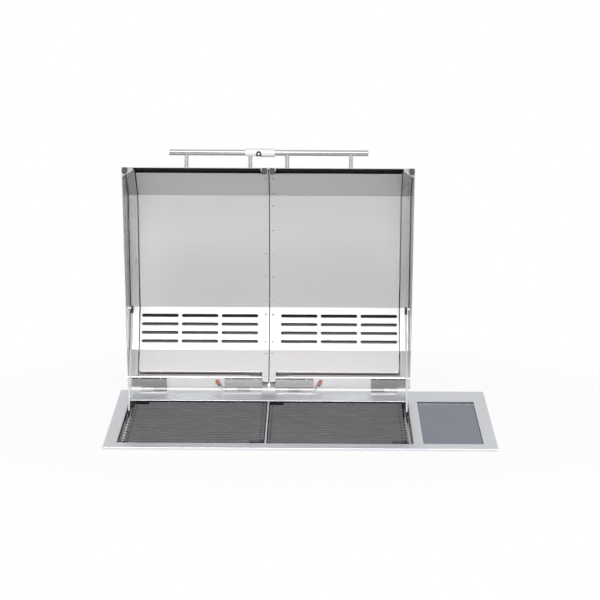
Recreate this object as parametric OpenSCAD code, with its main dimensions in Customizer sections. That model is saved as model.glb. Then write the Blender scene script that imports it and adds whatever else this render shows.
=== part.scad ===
// Built-in electric grill: a flush deck with two ribbed plates, a touch panel and two linked hood lids.
// Millimetres. X runs to the right, Y to the rear, Z up; Z = 0 is the worktop, X = Y = 0 the deck's centre.
// The lids are drawn closed and turned to their open rest pose about the hinge line.

/* [Deck] */
// Height of the deck's top above the worktop
deck_h = 5; // [4.5:0.1:8]
// Thickness of the deck sheet
deck_t = 1.5; // [1:0.1:2]
// Radius of the deck's corners
deck_r = 3; // [2:0.5:6]
// Outside radius of the bend round the deck's edge
deck_bend = 1; // [0.5:0.5:2.5]
// Deck margin to the left of the well
edge_margin = 24.5; // [24:0.25:40]
// Deck margin to the right of the glass
panel_margin = 26.25; // [24:0.25:40]
// Deck margin in front of the well
front_margin = 41.5; // [34:0.5:60]
// Deck margin behind the well, under the hinges
rear_margin = 101.5; // [98:0.5:140]
// Deck strip between the well and the glass
panel_gap = 19.25; // [18:0.25:40]

/* [Well and plates] */
// Width of one grill plate
plate_w = 266.5; // [240:0.5:300]
// Depth of one grill plate
plate_d = 375; // [340:1:390]
// Gap in front of the plates, for the grease
drip_gap = 25.5; // [20:0.5:40]
// Gap behind the plates
plate_rear = 2; // [1:0.5:6]
// Width of the gutter beside each plate
gutter_w = 13; // [12.5:0.5:18]
// Width of the divider strip
divider_w = 3.4; // [3:0.1:9]
// Clearance of each plate to the divider and the stay rail
plate_gap = 1.8; // [1:0.1:2.5]
// Drop of the rib tops below the deck's top
plate_drop = 3; // [2:0.5:7]
// Thickness of the plate's floor
plate_floor = 6; // [4:0.5:9]
// Height of the ribs
rib_h = 6; // [4:0.5:8]
// Number of ribs on a plate
rib_count = 17; // [14:1:20]
// Width of a rib at its top
rib_top = 8; // [4:0.5:9]
// Width of a rib at its root
rib_root = 12; // [10:0.5:14]
// Length of the finger notch along the plate's width
notch_w = 27; // [20:1:34]
// Depth of the finger notch
notch_d = 21; // [16:1:26]
// Depth of the well tub below the worktop
tub_depth = 95; // [85:1:120]
// Sheet of the tub, trays and housing
sheet_t = 1.2; // [0.8:0.1:1.6]
// Height of the drip trays
tray_h = 22; // [14:1:30]
// Radius of the heating tube
heater_r = 3.5; // [3:0.25:4.25]
// Distance between the legs of a heating tube
heater_pitch = 64; // [56:1:72]

/* [Housing] */
// Depth of the housing below the worktop
housing_depth = 118; // [110:1:150]
// Step from the deck's edge in to the housing at the sides
housing_side = 18; // [17:0.5:19.5]
// Step from the deck's front edge in to the housing
housing_front = 20; // [18:1:30]
// Step from the deck's rear edge in to the housing
housing_rear = 40; // [30:1:60]
// Greatest thickness of worktop that the clamps take
worktop_t = 60; // [40:1:70]
// Width of a worktop clamp
clamp_w = 30; // [20:1:40]
// Reach of a clamp under the worktop
clamp_reach = 13; // [10:0.5:16]
// Radius of the cable gland's bore
gland_bore = 5; // [3:0.5:6.5]

/* [Touch panel] */
// Width of the glass
glass_w = 114; // [90:1:130]
// Length of the glass, front to rear
glass_d = 400; // [360:1:410]
// Thickness of the glass
glass_t = 4; // [3:0.5:6]
// Drop of the glass below the deck's top
glass_drop = 3; // [2:0.5:4]
// Clearance round the glass
glass_gap = 0.5; // [0.3:0.1:1]
// Step of the glass in front of the well's rear edge
glass_rear = 1.5; // [1:0.5:12]
// Least step of the glass behind the well's front edge
glass_front = 1; // [1:0.5:24]
// Length of the power board
board_d = 180; // [140:1:220]
// Height of the parts on the power board
board_h = 38; // [24:1:44]

/* [Lids] */
// Angle from closed to the open rest pose
open_deg = 71; // [60:0.5:80]
// Overlap of a lid past the well at the sides
lid_over = 9; // [7:0.5:12]
// Shift of both lids to the left of the well
lid_shift = 0.75; // [0:0.25:3]
// Overlap of a lid past the well at the front
lid_front = 14.5; // [10:0.5:24]
// Gap between the two lids
lid_gap = 2; // [1:0.5:4]
// Sheet of the shell, cheeks and liner
lid_t = 1.2; // [0.8:0.1:1.6]
// Space from the liner's face to the shell's outside
lid_wall = 18; // [14:0.5:24]
// Start of the liner in front of the hinge line
liner_y = 30; // [27:0.5:36]
// Start of the liner above the hinge line
liner_h = 19; // [16:0.5:24]
// Length of the lower liner strip
lower_len = 50; // [40:0.5:60]
// Slope of the lower liner strip
lower_ang = 53; // [49:0.5:58]
// Length of the slotted vent panel
vent_len = 92; // [84:0.5:110]
// Slope of the slotted vent panel
vent_ang = 44; // [38:0.5:47]
// Slope of the roof panel
roof_ang = 5; // [2:0.5:9]
// Length of the front strip of the liner
brow_len = 101.5; // [90:0.5:110]
// Fall of the front strip
brow_ang = 38; // [34:0.5:44]
// Fall of the lid's front face
face_ang = 62; // [57:0.5:68]
// Gap between the liner's front edge and the front face
brow_gap = 9.5; // [7:0.5:12]
// Width of the cheek's strip beside the liner
strip_w = 19.5; // [12:0.5:22]
// Gap between that strip and the liner
liner_gap = 2.5; // [1.5:0.5:4]
// Width of the rear flange that carries the hinges
flange_w = 27; // [24:0.5:28]
// Height of the lip in front of the rear flange
lip_h = 8.5; // [5:0.5:9]
// Part of the lip that is cut away beside the lids' centre line
lip_cut = 36; // [24:1:60]
// Width of the ledge that the liner is screwed to
ledge_w = 16; // [13:0.5:20]
// Radius of the liner's lower outer corner
corner_r = 5; // [3:0.5:8]
// Inside radius of the sheet bends
bend_r = 2.5; // [1:0.5:3]
// Radius of the rubber bumpers
bumper_r = 5.5; // [4:0.5:6.5]
// Slots in a row of the vent panel
slot_cols = 3; // [2:1:4]
// Rows of vent slots
slot_rows = 4; // [3:1:5]
// Width of a vent slot
slot_w = 7; // [3:0.2:8]
// Bridge between vent slots in a row
slot_bridge = 6.5; // [5:0.5:16]
// Start of the vent slots from the lid's inner edge
slot_in = 22.5; // [20:0.5:30]
// Plain strip of the vent panel past the slots
slot_out = 3.5; // [3:0.5:16]
// Reach of the corner gussets at the lid's outer edge
gusset_out = 22; // [16:1:30]
// Reach of the corner gussets beside the lids' centre line
gusset_in = 14; // [13:1:24]
// Reach of the liner's tab past the rim
tab_drop = 2.5; // [0:0.5:3]

/* [Hinges] */
// Step from the deck's rear edge in to the hinge knuckles
hinge_step = 6.5; // [1:0.5:10]
// Radius of the hinge knuckles
knuckle_r = 4; // [3.5:0.1:5]
// Radius of the hinge pins
pin_r = 2; // [1.5:0.1:2.5]
// Radial clearance of pins, pivots and the sleeve
run_fit = 0.05; // [0.02:0.01:0.08]
// Clearance between moving pieces
gap = 0.4; // [0.3:0.05:0.6]
// Thickness of the hinge leaves
leaf_t = 1.5; // [1:0.1:1.8]
// Length of the hinge leaves
leaf_l = 22; // [16:0.5:24]
// Width of the outer hinges
outer_hinge_w = 53.5; // [44:0.5:60]
// Width of the inner hinges
inner_hinge_w = 77.5; // [66:0.5:90]
// Outboard end of the outer hinges from the lid's edge
outer_hinge_in = 27.5; // [25:0.5:40]
// Inboard end of the inner hinges from the lids' centre line
inner_hinge_u = 14; // [13.5:0.5:20]
// Reach of the lid leaf past the outer hinge
leaf_reach = 19; // [10:1:19]
// Length of the lever on the release pins
lever_l = 21; // [16:1:24]
// Slant of that lever from the hinge line
lever_ang = 55; // [45:1:65]

/* [Handles] */
// Radius of the handle bars
bar_r = 6; // [5:0.25:7]
// Length of a handle bar
bar_l = 199; // [185:1:220]
// Radius of the handle posts
post_r = 4.5; // [3.5:0.25:5]
// Distance from post to post
post_pitch = 128; // [110:1:150]
// Inner post from the lids' centre line
post_u = 37; // [32:1:42]
// Stand-off of the bar from the front face
bar_off = 32; // [26:1:40]
// Length of the linking sleeve
sleeve_l = 60; // [54:1:66]
// Reach of the sleeve over the right bar
sleeve_lap = 12.5; // [8:0.5:14]
// Wall of the sleeve
sleeve_t = 2.6; // [2:0.1:3]
// Travel of the sleeve when it frees the lids
sleeve_travel = 16; // [16:1:20]

/* [Stays] */
// Distance of the stay from the well's side wall
stay_in = 4; // [4:0.25:5]
// Stay pivot in front of the hinge line
stay_y = 185; // [170:1:195]
// Stay pivot above the hinge line
stay_h = 10; // [9:0.5:14]
// Lean of a stay from upright, with the lid open
stay_lean = 34.9; // [28:0.1:38]
// Radius of the stay rod
stay_r = 1.8; // [1.5:0.1:2]
// Radius of the foot's roller
foot_r = 4.2; // [3.5:0.1:5]
// Depth of the foot below the worktop
foot_z = 8; // [7:0.5:12]
// Number of slots in a stay rail
rail_slots = 9; // [5:1:10]
// Pitch of those slots
rail_pitch = 24.5; // [14:0.5:26]
// Length of those slots
rail_slot_l = 13; // [6:0.5:13]

/* [Hidden] */
$fn = 48;
LEFT = -1;
RIGHT = 1;
eps = 0.01;

// Plan: everything across the deck adds up from the pieces that lie side by side
plate_in = divider_w / 2 + plate_gap;
plate_out = plate_in + plate_w;
well_half = plate_out + gutter_w;
deck_w = edge_margin + 2 * well_half + panel_gap + glass_w + panel_margin;
well_d = drip_gap + plate_d + plate_rear;
row_d = max(well_d, glass_rear + glass_d + glass_front);
deck_d = front_margin + row_d + rear_margin;
cx = edge_margin + well_half - deck_w / 2;
lid_cx = cx - lid_shift;
well_y1 = deck_d / 2 - rear_margin;
well_y0 = well_y1 - well_d;
z_under = deck_h - deck_t;
glass_x1 = deck_w / 2 - panel_margin;
glass_x0 = glass_x1 - glass_w;
glass_y1 = well_y1 - glass_rear;
glass_y0 = glass_y1 - glass_d;
glass_z1 = deck_h - glass_drop;
glass_z0 = glass_z1 - glass_t;
frame_t = 1.5;
frame_ledge = 8;

// Plates and what lies under them
plate_y1 = well_y1 - plate_rear;
plate_y0 = plate_y1 - plate_d;
plate_z1 = deck_h - plate_drop;
plate_z0 = plate_z1 - rib_h - plate_floor;
edge_r = deck_t - 0.3;
border_w = 5;
rest_w = 14;
heater_z = plate_z0 - 15;
bar_w = 5.5;
bar_z1 = heater_z - heater_r;
bar_ys = [well_y0 + 0.3 * well_d, well_y0 + 0.75 * well_d];

// Housing
hx = deck_w / 2 - housing_side;
hy0 = housing_front - deck_d / 2;
hy1 = deck_d / 2 - housing_rear;
hz0 = -housing_depth;
bay_x0 = cx + well_half + sheet_t + 5;
gland_x = (bay_x0 + hx) / 2;
gland_z = hz0 + 34;
clamp_t = 2;
clamp_z = -worktop_t - 4;
clamp_back = 26;
bolt_r = 2.5;
pcb_t = 1.6;
standoff_h = 8;

// Hinge line
hinge_in = knuckle_r + hinge_step;
hinge_y = deck_d / 2 - hinge_in;
hinge_up = knuckle_r + 0.3;
hinge_z = deck_h + hinge_up;

// Lid profile in (distance in front of the hinge line, height above it)
rim_h = knuckle_r + gap;
lid_in = lid_gap / 2;
lid_out = well_half + lid_over;
lid_len = rear_margin - hinge_in + well_d + lid_front;
outer_hinge_u = lid_out - outer_hinge_in - outer_hinge_w;
rear_y = 0;
lip_y = rear_y + flange_w;
liner_out = lid_out - lid_t - strip_w - liner_gap;
foot_pt = [lid_len, rim_h];
p0 = [liner_y, liner_h];
p1 = p0 + lower_len * dir(lower_ang);
p2 = p1 + vent_len * dir(vent_ang);
roof_len = (-brow_gap - nrm(-face_ang) * (p2 + brow_len * dir(-brow_ang) - foot_pt))
  / (nrm(-face_ang) * dir(roof_ang));
p3 = p2 + roof_len * dir(roof_ang);
p4 = p3 + brow_len * dir(-brow_ang);
a1 = meet(p0 + lid_wall * nrm(lower_ang), lower_ang, [rear_y, 0], 90);
a2 = meet(p0 + lid_wall * nrm(lower_ang), lower_ang, p1 + lid_wall * nrm(vent_ang), vent_ang);
a3 = meet(p1 + lid_wall * nrm(vent_ang), vent_ang, p2 + lid_wall * nrm(roof_ang), roof_ang);
a4 = meet(p2 + lid_wall * nrm(roof_ang), roof_ang, p3 + lid_wall * nrm(-brow_ang), -brow_ang);
a5 = meet(p3 + lid_wall * nrm(-brow_ang), -brow_ang, foot_pt, -face_ang);
shell_pts = [[lip_y, rim_h + lip_h], [lip_y, rim_h], [rear_y, rim_h], a1, a2, a3, a4, a5, foot_pt];
rim_in = rim_h + lid_t;
rear_in = [rear_y + lid_t, rim_in];
front_in = meet(foot_pt - lid_t * nrm(-face_ang), -face_ang, [0, rim_in], 0);
core_pts = rounded([[rear_y, rim_h], a1, a2, a3, a4, a5, foot_pt], bend_r);
core_in = mitred(core_pts, -lid_t);
inner_pts = concat([rear_in], [for (i = [1:len(core_in) - 2]) core_in[i]], [front_in]);
strip_y0 = meet(p0, lower_ang, [0, rim_in], 0);
strip_y1 = meet(p3, -brow_ang, foot_pt - lid_t * nrm(-face_ang), -face_ang)
  - (lid_t / tan(face_ang - brow_ang) + 0.3) * dir(-brow_ang);
ledge_end = bend_r + lid_t + 1.5;
brow_return = 8;
vent_return = 6;
return_u = lid_in + lid_t + ledge_w + 1;
felt_t = 2;
glue_t = 0.05;
gasket_w = 10;
tab_len = (p0[1] - rim_h + tab_drop) / sin(lower_ang);
tab_w = 13;
tab_r = 5;
tab_clear = rear_y + 4.5;
bumper_u0 = lid_in + bumper_r + 1;
bumper_u1 = lid_out - bumper_r - 1;
bumper_y = lid_len - bumper_r - 0.5;
bumper_z0 = 0.3 - hinge_up;

// Handles, in the front face's own plane
face_mid = (a5 + foot_pt) / 2;
bar_c = face_mid + bar_off * nrm(-face_ang);
sleeve_r = bar_r + run_fit + sleeve_t;
catch_u = 20;
post_slot = 2 * post_r + 2 * gap;

// Stays, in the open rest pose
stay_u = well_half - stay_in;
eye_r = 4.5;
eye_w = 4;
pivot_r = 2;
stay_top = at_rest([stay_y, stay_h]);
stay_drop = stay_top[1] + foot_z;
stay_tilt = 90 - stay_lean;
stay_l = stay_drop / sin(stay_tilt);
boot_r = stay_r + 0.8;
boot_l = 6;
foot_w = 2 * stay_in - 4;
rail_t = 1;
rail_z1 = -foot_z - foot_r - 0.3;
rail_y1 = plate_y1 - rest_w - 1;
rail_y0 = plate_y0 + rest_w + 6;
flange_z = plate_z1 - rib_h + 2;
rail_slot_r = 1.3;

function dir(a) = [cos(a), sin(a)];
function nrm(a) = [-sin(a), cos(a)];
function cross2(a, b) = a[0] * b[1] - a[1] * b[0];
function unit(v) = v / norm(v);
function left_of(a, b) = let(d = unit(b - a)) [-d[1], d[0]];
// Point where two lines, each given by a point and an angle, cross
function meet(p, a, q, b) = p + dir(a) * cross2(q - p, dir(b)) / cross2(dir(a), dir(b));
// A lid point (in front, above) in the open pose, as (Y, Z)
function at_rest(p) = [
  hinge_y - p[0] * cos(open_deg) + p[1] * sin(open_deg),
  hinge_z + p[0] * sin(open_deg) + p[1] * cos(open_deg)
];
// Corner b of a line a-b-c turned into a bend of radius r
function bend_at(a, b, c, r) = let(
    d1 = unit(b - a),
    d2 = unit(c - b),
    turn = acos(d1 * d2),
    s = sign(cross2(d1, d2)),
    p = b - d1 * r * tan(turn / 2),
    o = p + s * r * [-d1[1], d1[0]],
    a0 = atan2(p[1] - o[1], p[0] - o[0])
  ) [for (k = [0:3]) o + r * dir(a0 + s * turn * k / 3)];
function rounded(pts, r) = [
  for (i = [0:len(pts) - 1])
    each (i == 0 || i == len(pts) - 1) ? [pts[i]] : bend_at(pts[i - 1], pts[i], pts[i + 1], r)
];
// Line moved sideways by d, with mitred corners
function mitred(pts, d) = [
  for (i = [0:len(pts) - 1]) let(
    n = len(pts) - 1,
    m1 = left_of(pts[max(i - 1, 0)], pts[max(i, 1)]),
    m2 = left_of(pts[min(i, n - 1)], pts[min(i + 1, n)])
  ) pts[i] + d * (m1 + m2) / (1 + m1 * m2)
];
function reversed(v) = [for (i = [len(v) - 1:-1:0]) v[i]];
// Closed outline of a bent sheet of thickness t on the left of a line
function sheet_outline(pts, t) = concat(pts, reversed(mitred(pts, t)));

// Frames of reference
module side(s) {
  translate([cx, 0, 0]) {
    if (s < 0) mirror([1, 0, 0]) children();
    else children();
  }
}
module lid_frame(s) {
  translate([lid_cx, hinge_y, hinge_z])
    rotate([-open_deg, 0, 0]) {
      if (s < 0) mirror([1, 0, 0]) children();
      else children();
    }
}
// Outline in lid coordinates, drawn out along the lid's width
module across(u0, u1, pts) {
  translate([u0, 0, 0])
    rotate([90, 0, 90])
      linear_extrude(u1 - u0)
        polygon([for (p = pts) [-p[0], p[1]]]);
}
// Children drawn on a lid plane of slope a through p, with Z along its normal
module on_plane(u, p, a) {
  translate([u, -p[0], p[1]]) rotate([-a, 0, 0]) children();
}
module rod_x(u0, u1, r) {
  translate([u0, 0, 0]) rotate([0, 90, 0]) cylinder(r = r, h = u1 - u0);
}
module box(lo, hi) {
  translate(lo) cube(hi - lo);
}
module round_rect(lo, hi, r) {
  translate([lo[0] + r, lo[1]]) square([hi[0] - lo[0] - 2 * r, hi[1] - lo[1]]);
  translate([lo[0], lo[1] + r]) square([hi[0] - lo[0], hi[1] - lo[1] - 2 * r]);
  for (x = [lo[0] + r, hi[0] - r], y = [lo[1] + r, hi[1] - r]) translate([x, y]) circle(r);
}
module open_box(lo, hi, t) {
  difference() {
    box(lo, hi);
    box(lo + [t, t, t], hi + [-t, -t, 1]);
  }
}

// Deck
module deck_blank(inset) {
  round_rect([inset - deck_w / 2, inset - deck_d / 2], [deck_w / 2 - inset, deck_d / 2 - inset],
    deck_r - min(inset, deck_r - 0.5));
}
// Section of the deck's block, with the bend at its two upper corners
module deck_section(w) {
  translate([-w / 2, 0]) square([w, deck_h - deck_bend]);
  translate([deck_bend - w / 2, 0]) square([w - 2 * deck_bend, deck_h]);
  for (x = [deck_bend - w / 2, w / 2 - deck_bend]) translate([x, deck_h - deck_bend]) circle(deck_bend);
}
module edge_cut(e) {
  difference() {
    translate([e > 0 ? 0 : -edge_r, -edge_r]) square([edge_r, edge_r + 1]);
    translate([e * edge_r, -edge_r]) circle(edge_r);
    translate([e > 0 ? edge_r : -edge_r - 1, -edge_r]) square([1, edge_r + 2]);
  }
}
module top_plate() {
  color("silver") difference() {
    intersection() {
      translate([0, 0, 0.5]) linear_extrude(deck_h - 0.5) deck_blank(0);
      rotate([90, 0, 90]) linear_extrude(deck_w + 2, center = true) deck_section(deck_d);
      rotate([90, 0, 0]) linear_extrude(deck_d + 2, center = true) deck_section(deck_w);
    }
    linear_extrude(z_under) deck_blank(deck_t);
    box([cx - well_half, well_y0, -1], [cx + well_half, well_y1, deck_h + 1]);
    for (e = [[well_y0, -1], [well_y1, 1]]) translate([cx, e[0], deck_h]) rotate([90, 0, 90])
      linear_extrude(2 * (well_half + edge_r), center = true) edge_cut(e[1]);
    for (e = [-1, 1]) translate([cx + e * well_half, (well_y0 + well_y1) / 2, deck_h]) rotate([90, 0, 0])
      linear_extrude(well_y1 - well_y0 + 2 * edge_r, center = true) edge_cut(e);
    box([glass_x0 - glass_gap, glass_y0 - glass_gap, -1],
      [glass_x1 + glass_gap, glass_y1 + glass_gap, deck_h + 1]);
  }
}
module worktop_seal() {
  color("dimgray") linear_extrude(z_under) difference() {
    deck_blank(deck_t + 0.5);
    deck_blank(housing_side - 3);
  }
}

// Housing: a folded trough with front and rear walls, closed by two end plates
module outer_housing() {
  color("lightsteelblue") difference() {
    box([-hx, hy0, hz0], [hx, hy1, z_under]);
    box([-hx - 1, hy0 + sheet_t, hz0 + sheet_t], [hx + 1, hy1 - sheet_t, z_under + 1]);
    translate([gland_x, hy1 - 5, gland_z]) rotate([-90, 0, 0]) cylinder(r = gland_bore + 3, h = 10);
  }
}
module housing_end(x) {
  box([x, hy0 + sheet_t, hz0 + sheet_t], [x + sheet_t, hy1 - sheet_t, z_under]);
}
module housing_left_end() { color("lightsteelblue") housing_end(-hx); }
module housing_right_end() {
  color("lightsteelblue") difference() {
    housing_end(hx - sheet_t);
    for (i = [0:7])
      box([hx - 5, glass_y0 + 20 + 14 * i, hz0 + 30], [hx + 5, glass_y0 + 24 + 14 * i, hz0 + 72]);
  }
}
module worktop_clamps() {
  bolt_x = hx + 0.6 * clamp_reach;
  color("gray") for (s = [LEFT, RIGHT], y = [-0.28 * deck_d, 0.28 * deck_d]) {
    difference() {
      union() {
        translate([s * (hx + clamp_t / 2), y, clamp_z + clamp_back / 2 - 1])
          cube([clamp_t, clamp_w, clamp_back], center = true);
        translate([s * (hx + clamp_reach / 2), y, clamp_z])
          cube([clamp_reach, clamp_w, clamp_t], center = true);
      }
      translate([s * bolt_x, y, clamp_z - 2 * clamp_t]) cylinder(r = bolt_r, h = 4 * clamp_t);
    }
    translate([s * bolt_x, y, clamp_z - 14]) cylinder(r = bolt_r, h = 14 + clamp_back);
    translate([s * bolt_x, y, clamp_z - 16]) cylinder(r = 1.8 * bolt_r, h = 3, $fn = 6);
  }
}

// Well
module well_tub() {
  color("slategray") difference() {
    box([cx - well_half - sheet_t, well_y0 - sheet_t, -tub_depth],
      [cx + well_half + sheet_t, well_y1 + sheet_t, z_under]);
    box([cx - well_half, well_y0, sheet_t - tub_depth], [cx + well_half, well_y1, z_under + 1]);
  }
}
// Angles across the well that the plates' ends rest on, open under the finger notches
module plate_rests() {
  color("gray") difference() {
    for (y = [plate_y0 - 5, well_y1 - rest_w]) {
      box([cx - well_half, y, plate_z0 - sheet_t], [cx + well_half, y + rest_w, plate_z0]);
      box([cx - well_half, y, plate_z0 - 9], [cx + well_half, y + sheet_t, plate_z0]);
    }
    for (x = [cx - plate_out, cx + plate_in]) {
      box([x - 1, well_y1 - rest_w - 1, plate_z0 - 10], [x + notch_w + 1, well_y1 + 1, plate_z0 + 1]);
      box([x + plate_w - notch_w - 1, plate_y0 - 5 + sheet_t, plate_z0 - 10],
        [x + plate_w + 1, plate_y0 + rest_w, plate_z0 + 1]);
    }
  }
}
module well_divider() {
  color("gainsboro") difference() {
    box([cx - divider_w / 2, well_y0, plate_z0], [cx + divider_w / 2, well_y1, deck_h - 2]);
    box([cx - divider_w / 2 + sheet_t, well_y0 - 1, plate_z0 - 1],
      [cx + divider_w / 2 - sheet_t, well_y1 + 1, deck_h - 2 - sheet_t]);
  }
}
module drip_tray(s) {
  side(s) open_box([2, well_y0 + 4, sheet_t - tub_depth],
    [well_half - 4, well_y1 - 4, sheet_t + tray_h - tub_depth], sheet_t);
}
module left_drip_tray() { color("darkgray") drip_tray(LEFT); }
module right_drip_tray() { color("darkgray") drip_tray(RIGHT); }

// Ribbed plate, drawn from its left rear corner; one comb profile carries all ribs
function comb() = let(pitch = plate_d / rib_count) concat(
  [[plate_y1, plate_z0], [plate_y0, plate_z0]],
  [for (i = [0:rib_count - 1]) let(c = plate_y0 + (i + 0.5) * pitch, z = plate_z1 - rib_h)
    each [[c - rib_root / 2, z], [c - rib_top / 2, plate_z1],
      [c + rib_top / 2, plate_z1], [c + rib_root / 2, z]]],
  [[plate_y1, plate_z1 - rib_h]]
);
module finger_notch(x, y, sx, sy) {
  translate([x, y, 0]) mirror([sx < 0 ? 1 : 0, 0, 0]) mirror([0, sy < 0 ? 1 : 0, 0]) {
    box([-1, -1, plate_z0 - 1], [notch_w - 6, notch_d, plate_z1 + 1]);
    box([-1, -1, plate_z0 - 1], [notch_w, notch_d - 6, plate_z1 + 1]);
    translate([notch_w - 6, notch_d - 6, plate_z0 - 1]) cylinder(r = 6, h = plate_z1 - plate_z0 + 2);
  }
}
module grill_plate(x) {
  difference() {
    union() {
      translate([x, 0, 0]) rotate([90, 0, 90]) linear_extrude(plate_w) polygon(concat(
        [[plate_y1, plate_z0]], [[plate_y0, plate_z0]], [[plate_y0, plate_z1 - rib_h]],
        [for (i = [2:len(comb()) - 1]) comb()[i]]));
      for (u = [x, x + plate_w - border_w])
        box([u, plate_y0, plate_z0], [u + border_w, plate_y1, plate_z1 - 1.5]);
    }
    finger_notch(x, plate_y1, 1, -1);
    finger_notch(x + plate_w, plate_y0, -1, 1);
  }
}
module left_grill_plate() { color("dimgray") grill_plate(cx - plate_out); }
module right_grill_plate() { color("dimgray") grill_plate(cx + plate_in); }

// Tubular heater: four legs joined by half turns
module heating_element(s) {
  pitch = heater_pitch;
  u0 = plate_in + plate_w / 2 - 1.5 * pitch;
  y0 = plate_y0 + 20 + pitch / 2;
  y1 = plate_y1 - 30 - pitch / 2;
  side(s) {
    for (i = [0:3]) {
      top = (i == 0 || i == 3) ? well_y1 : y1;
      translate([u0 + i * pitch, y0, heater_z]) rotate([-90, 0, 0]) cylinder(r = heater_r, h = top - y0);
    }
    for (c = [0, 2])
      translate([u0 + (c + 0.5) * pitch, y0, heater_z])
        rotate([0, 0, 180]) rotate_extrude(angle = 180) translate([pitch / 2, 0]) circle(heater_r);
    translate([u0 + 1.5 * pitch, y1, heater_z])
      rotate_extrude(angle = 180) translate([pitch / 2, 0]) circle(heater_r);
  }
}
module left_heating_element() { color("firebrick") heating_element(LEFT); }
module right_heating_element() { color("firebrick") heating_element(RIGHT); }
module element_bars() {
  color("gray") for (y = bar_ys)
    box([cx - well_half, y - 1.5, bar_z1 - bar_w], [cx + well_half, y + 1.5, bar_z1]);
}

// Stay rail: a channel on the tub's wall, with a perforated flange beside the plate in front
module stay_rail(s) {
  u1 = well_half;
  u0 = well_half - 2 * stay_in;
  flange_u = plate_out + plate_gap;
  half = rail_slot_l / 2 - rail_slot_r;
  flange_y1 = rail_y0 + rail_slots * rail_pitch;
  side(s) difference() {
    union() {
      box([u0, rail_y0, rail_z1 - rail_t], [u1, rail_y1, rail_z1]);
      box([u1 - rail_t, rail_y0, rail_z1 - rail_t], [u1, rail_y1, rail_z1 + 5]);
      box([u0, rail_y0, rail_z1 - rail_t], [u0 + rail_t, rail_y1, rail_z1 + 3]);
      box([u0, rail_y0, rail_z1 - rail_t], [u0 + rail_t, flange_y1, flange_z]);
      box([flange_u, rail_y0, flange_z - rail_t], [stay_u - boot_r - gap, flange_y1, flange_z]);
    }
    for (i = [0:rail_slots - 1])
      translate([flange_u + rail_slot_r + 0.5, rail_y0 + (i + 0.5) * rail_pitch, flange_z - rail_t - 1]) {
        box([-rail_slot_r, -half, 0], [rail_slot_r, half, rail_t + 2]);
        for (y = [-half, half]) translate([0, y, 0]) cylinder(r = rail_slot_r, h = rail_t + 2);
      }
  }
}
module left_stay_rail() { color("lightgray") stay_rail(LEFT); }
module right_stay_rail() { color("lightgray") stay_rail(RIGHT); }

// Touch panel
module control_glass() {
  color("lightslategray") translate([0, 0, glass_z0]) linear_extrude(glass_t)
    round_rect([glass_x0, glass_y0], [glass_x1, glass_y1], 1.5);
}
module glass_frame() {
  o = glass_gap + frame_t;
  color("dimgray") difference() {
    box([glass_x0 - o, glass_y0 - o, glass_z0 - 2], [glass_x1 + o, glass_y1 + o, z_under]);
    box([glass_x0 - glass_gap, glass_y0 - glass_gap, glass_z0],
      [glass_x1 + glass_gap, glass_y1 + glass_gap, z_under + 1]);
    box([glass_x0 + frame_ledge, glass_y0 + frame_ledge, glass_z0 - 3],
      [glass_x1 - frame_ledge, glass_y1 - frame_ledge, glass_z0 + 1]);
  }
}
module control_board() {
  z = glass_z0 - 2;
  z0 = z - pcb_t;
  color("darkgreen") {
    box([glass_x0 + 4, glass_y0 + 4, z0], [glass_x1 - 4, glass_y1 - 4, z]);
    box([glass_x0 + 30, glass_y0 + 40, z0 - 3.4], [glass_x0 + 58, glass_y0 + 68, z0 + eps]);
    box([glass_x0 + 24, glass_y1 - 60, z0 - 8.4], [glass_x1 - 24, glass_y1 - 44, z0 + eps]);
    for (i = [0:4])
      translate([(glass_x0 + glass_x1) / 2, glass_y0 + 100 + 26 * i, z0 - 3]) cylinder(r = 4, h = 3 + eps);
  }
}
module power_board() {
  z = hz0 + sheet_t;
  z1 = z + standoff_h + pcb_t;
  x0 = bay_x0 + 18;
  x1 = hx - 14;
  y0 = glass_y0 + 20;
  y1 = y0 + board_d;
  color("seagreen") {
    box([x0, y0, z + standoff_h], [x1, y1, z1]);
    for (x = [x0 + 6, x1 - 6], y = [y0 + 6, y1 - 6])
      translate([x, y, z]) cylinder(r = 3, h = standoff_h + eps);
    box([x0 + 16, y0 + 20, z1 - eps], [x0 + 60, y0 + 66, z1 + board_h]);
    for (i = [0:2])
      box([x0 + 12, y1 - 96 + 28 * i, z1 - eps], [x0 + 30, y1 - 76 + 28 * i, z1 + 0.45 * board_h]);
    for (i = [0:1]) translate([x1 - 26, y1 - 80 + 34 * i, z1 - eps]) cylinder(r = 11, h = 0.8 * board_h);
  }
}
module heat_shield() {
  color("gainsboro")
    box([bay_x0, hy0 + sheet_t, hz0 + sheet_t], [bay_x0 + sheet_t, hy1 - sheet_t, z_under]);
}
module terminal_block() {
  z = hz0 + sheet_t;
  x0 = gland_x - 26;
  y0 = hy1 - 78;
  color("ivory") difference() {
    box([x0, y0, z], [x0 + 52, y0 + 24, z + 26]);
    for (i = [0:3]) {
      translate([x0 + 8 + 12 * i, y0 + 12, z + 10]) cylinder(r = 3.5, h = 20);
      translate([x0 + 8 + 12 * i, y0 - 1, z + 9]) rotate([-90, 0, 0]) cylinder(r = 2.5, h = 30);
    }
  }
}
module cable_gland() {
  b = gland_bore;
  color("black") translate([gland_x, hy1, gland_z]) rotate([-90, 0, 0]) rotate_extrude() polygon([
    [b, -9], [b + 6, -9], [b + 6, -sheet_t], [b + 3, -sheet_t], [b + 3, 0], [b + 7, 0], [b + 7, 5],
    [b + 5.5, 6], [b + 5.5, 14], [b + 3, 18], [b, 18]
  ]);
}

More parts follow.
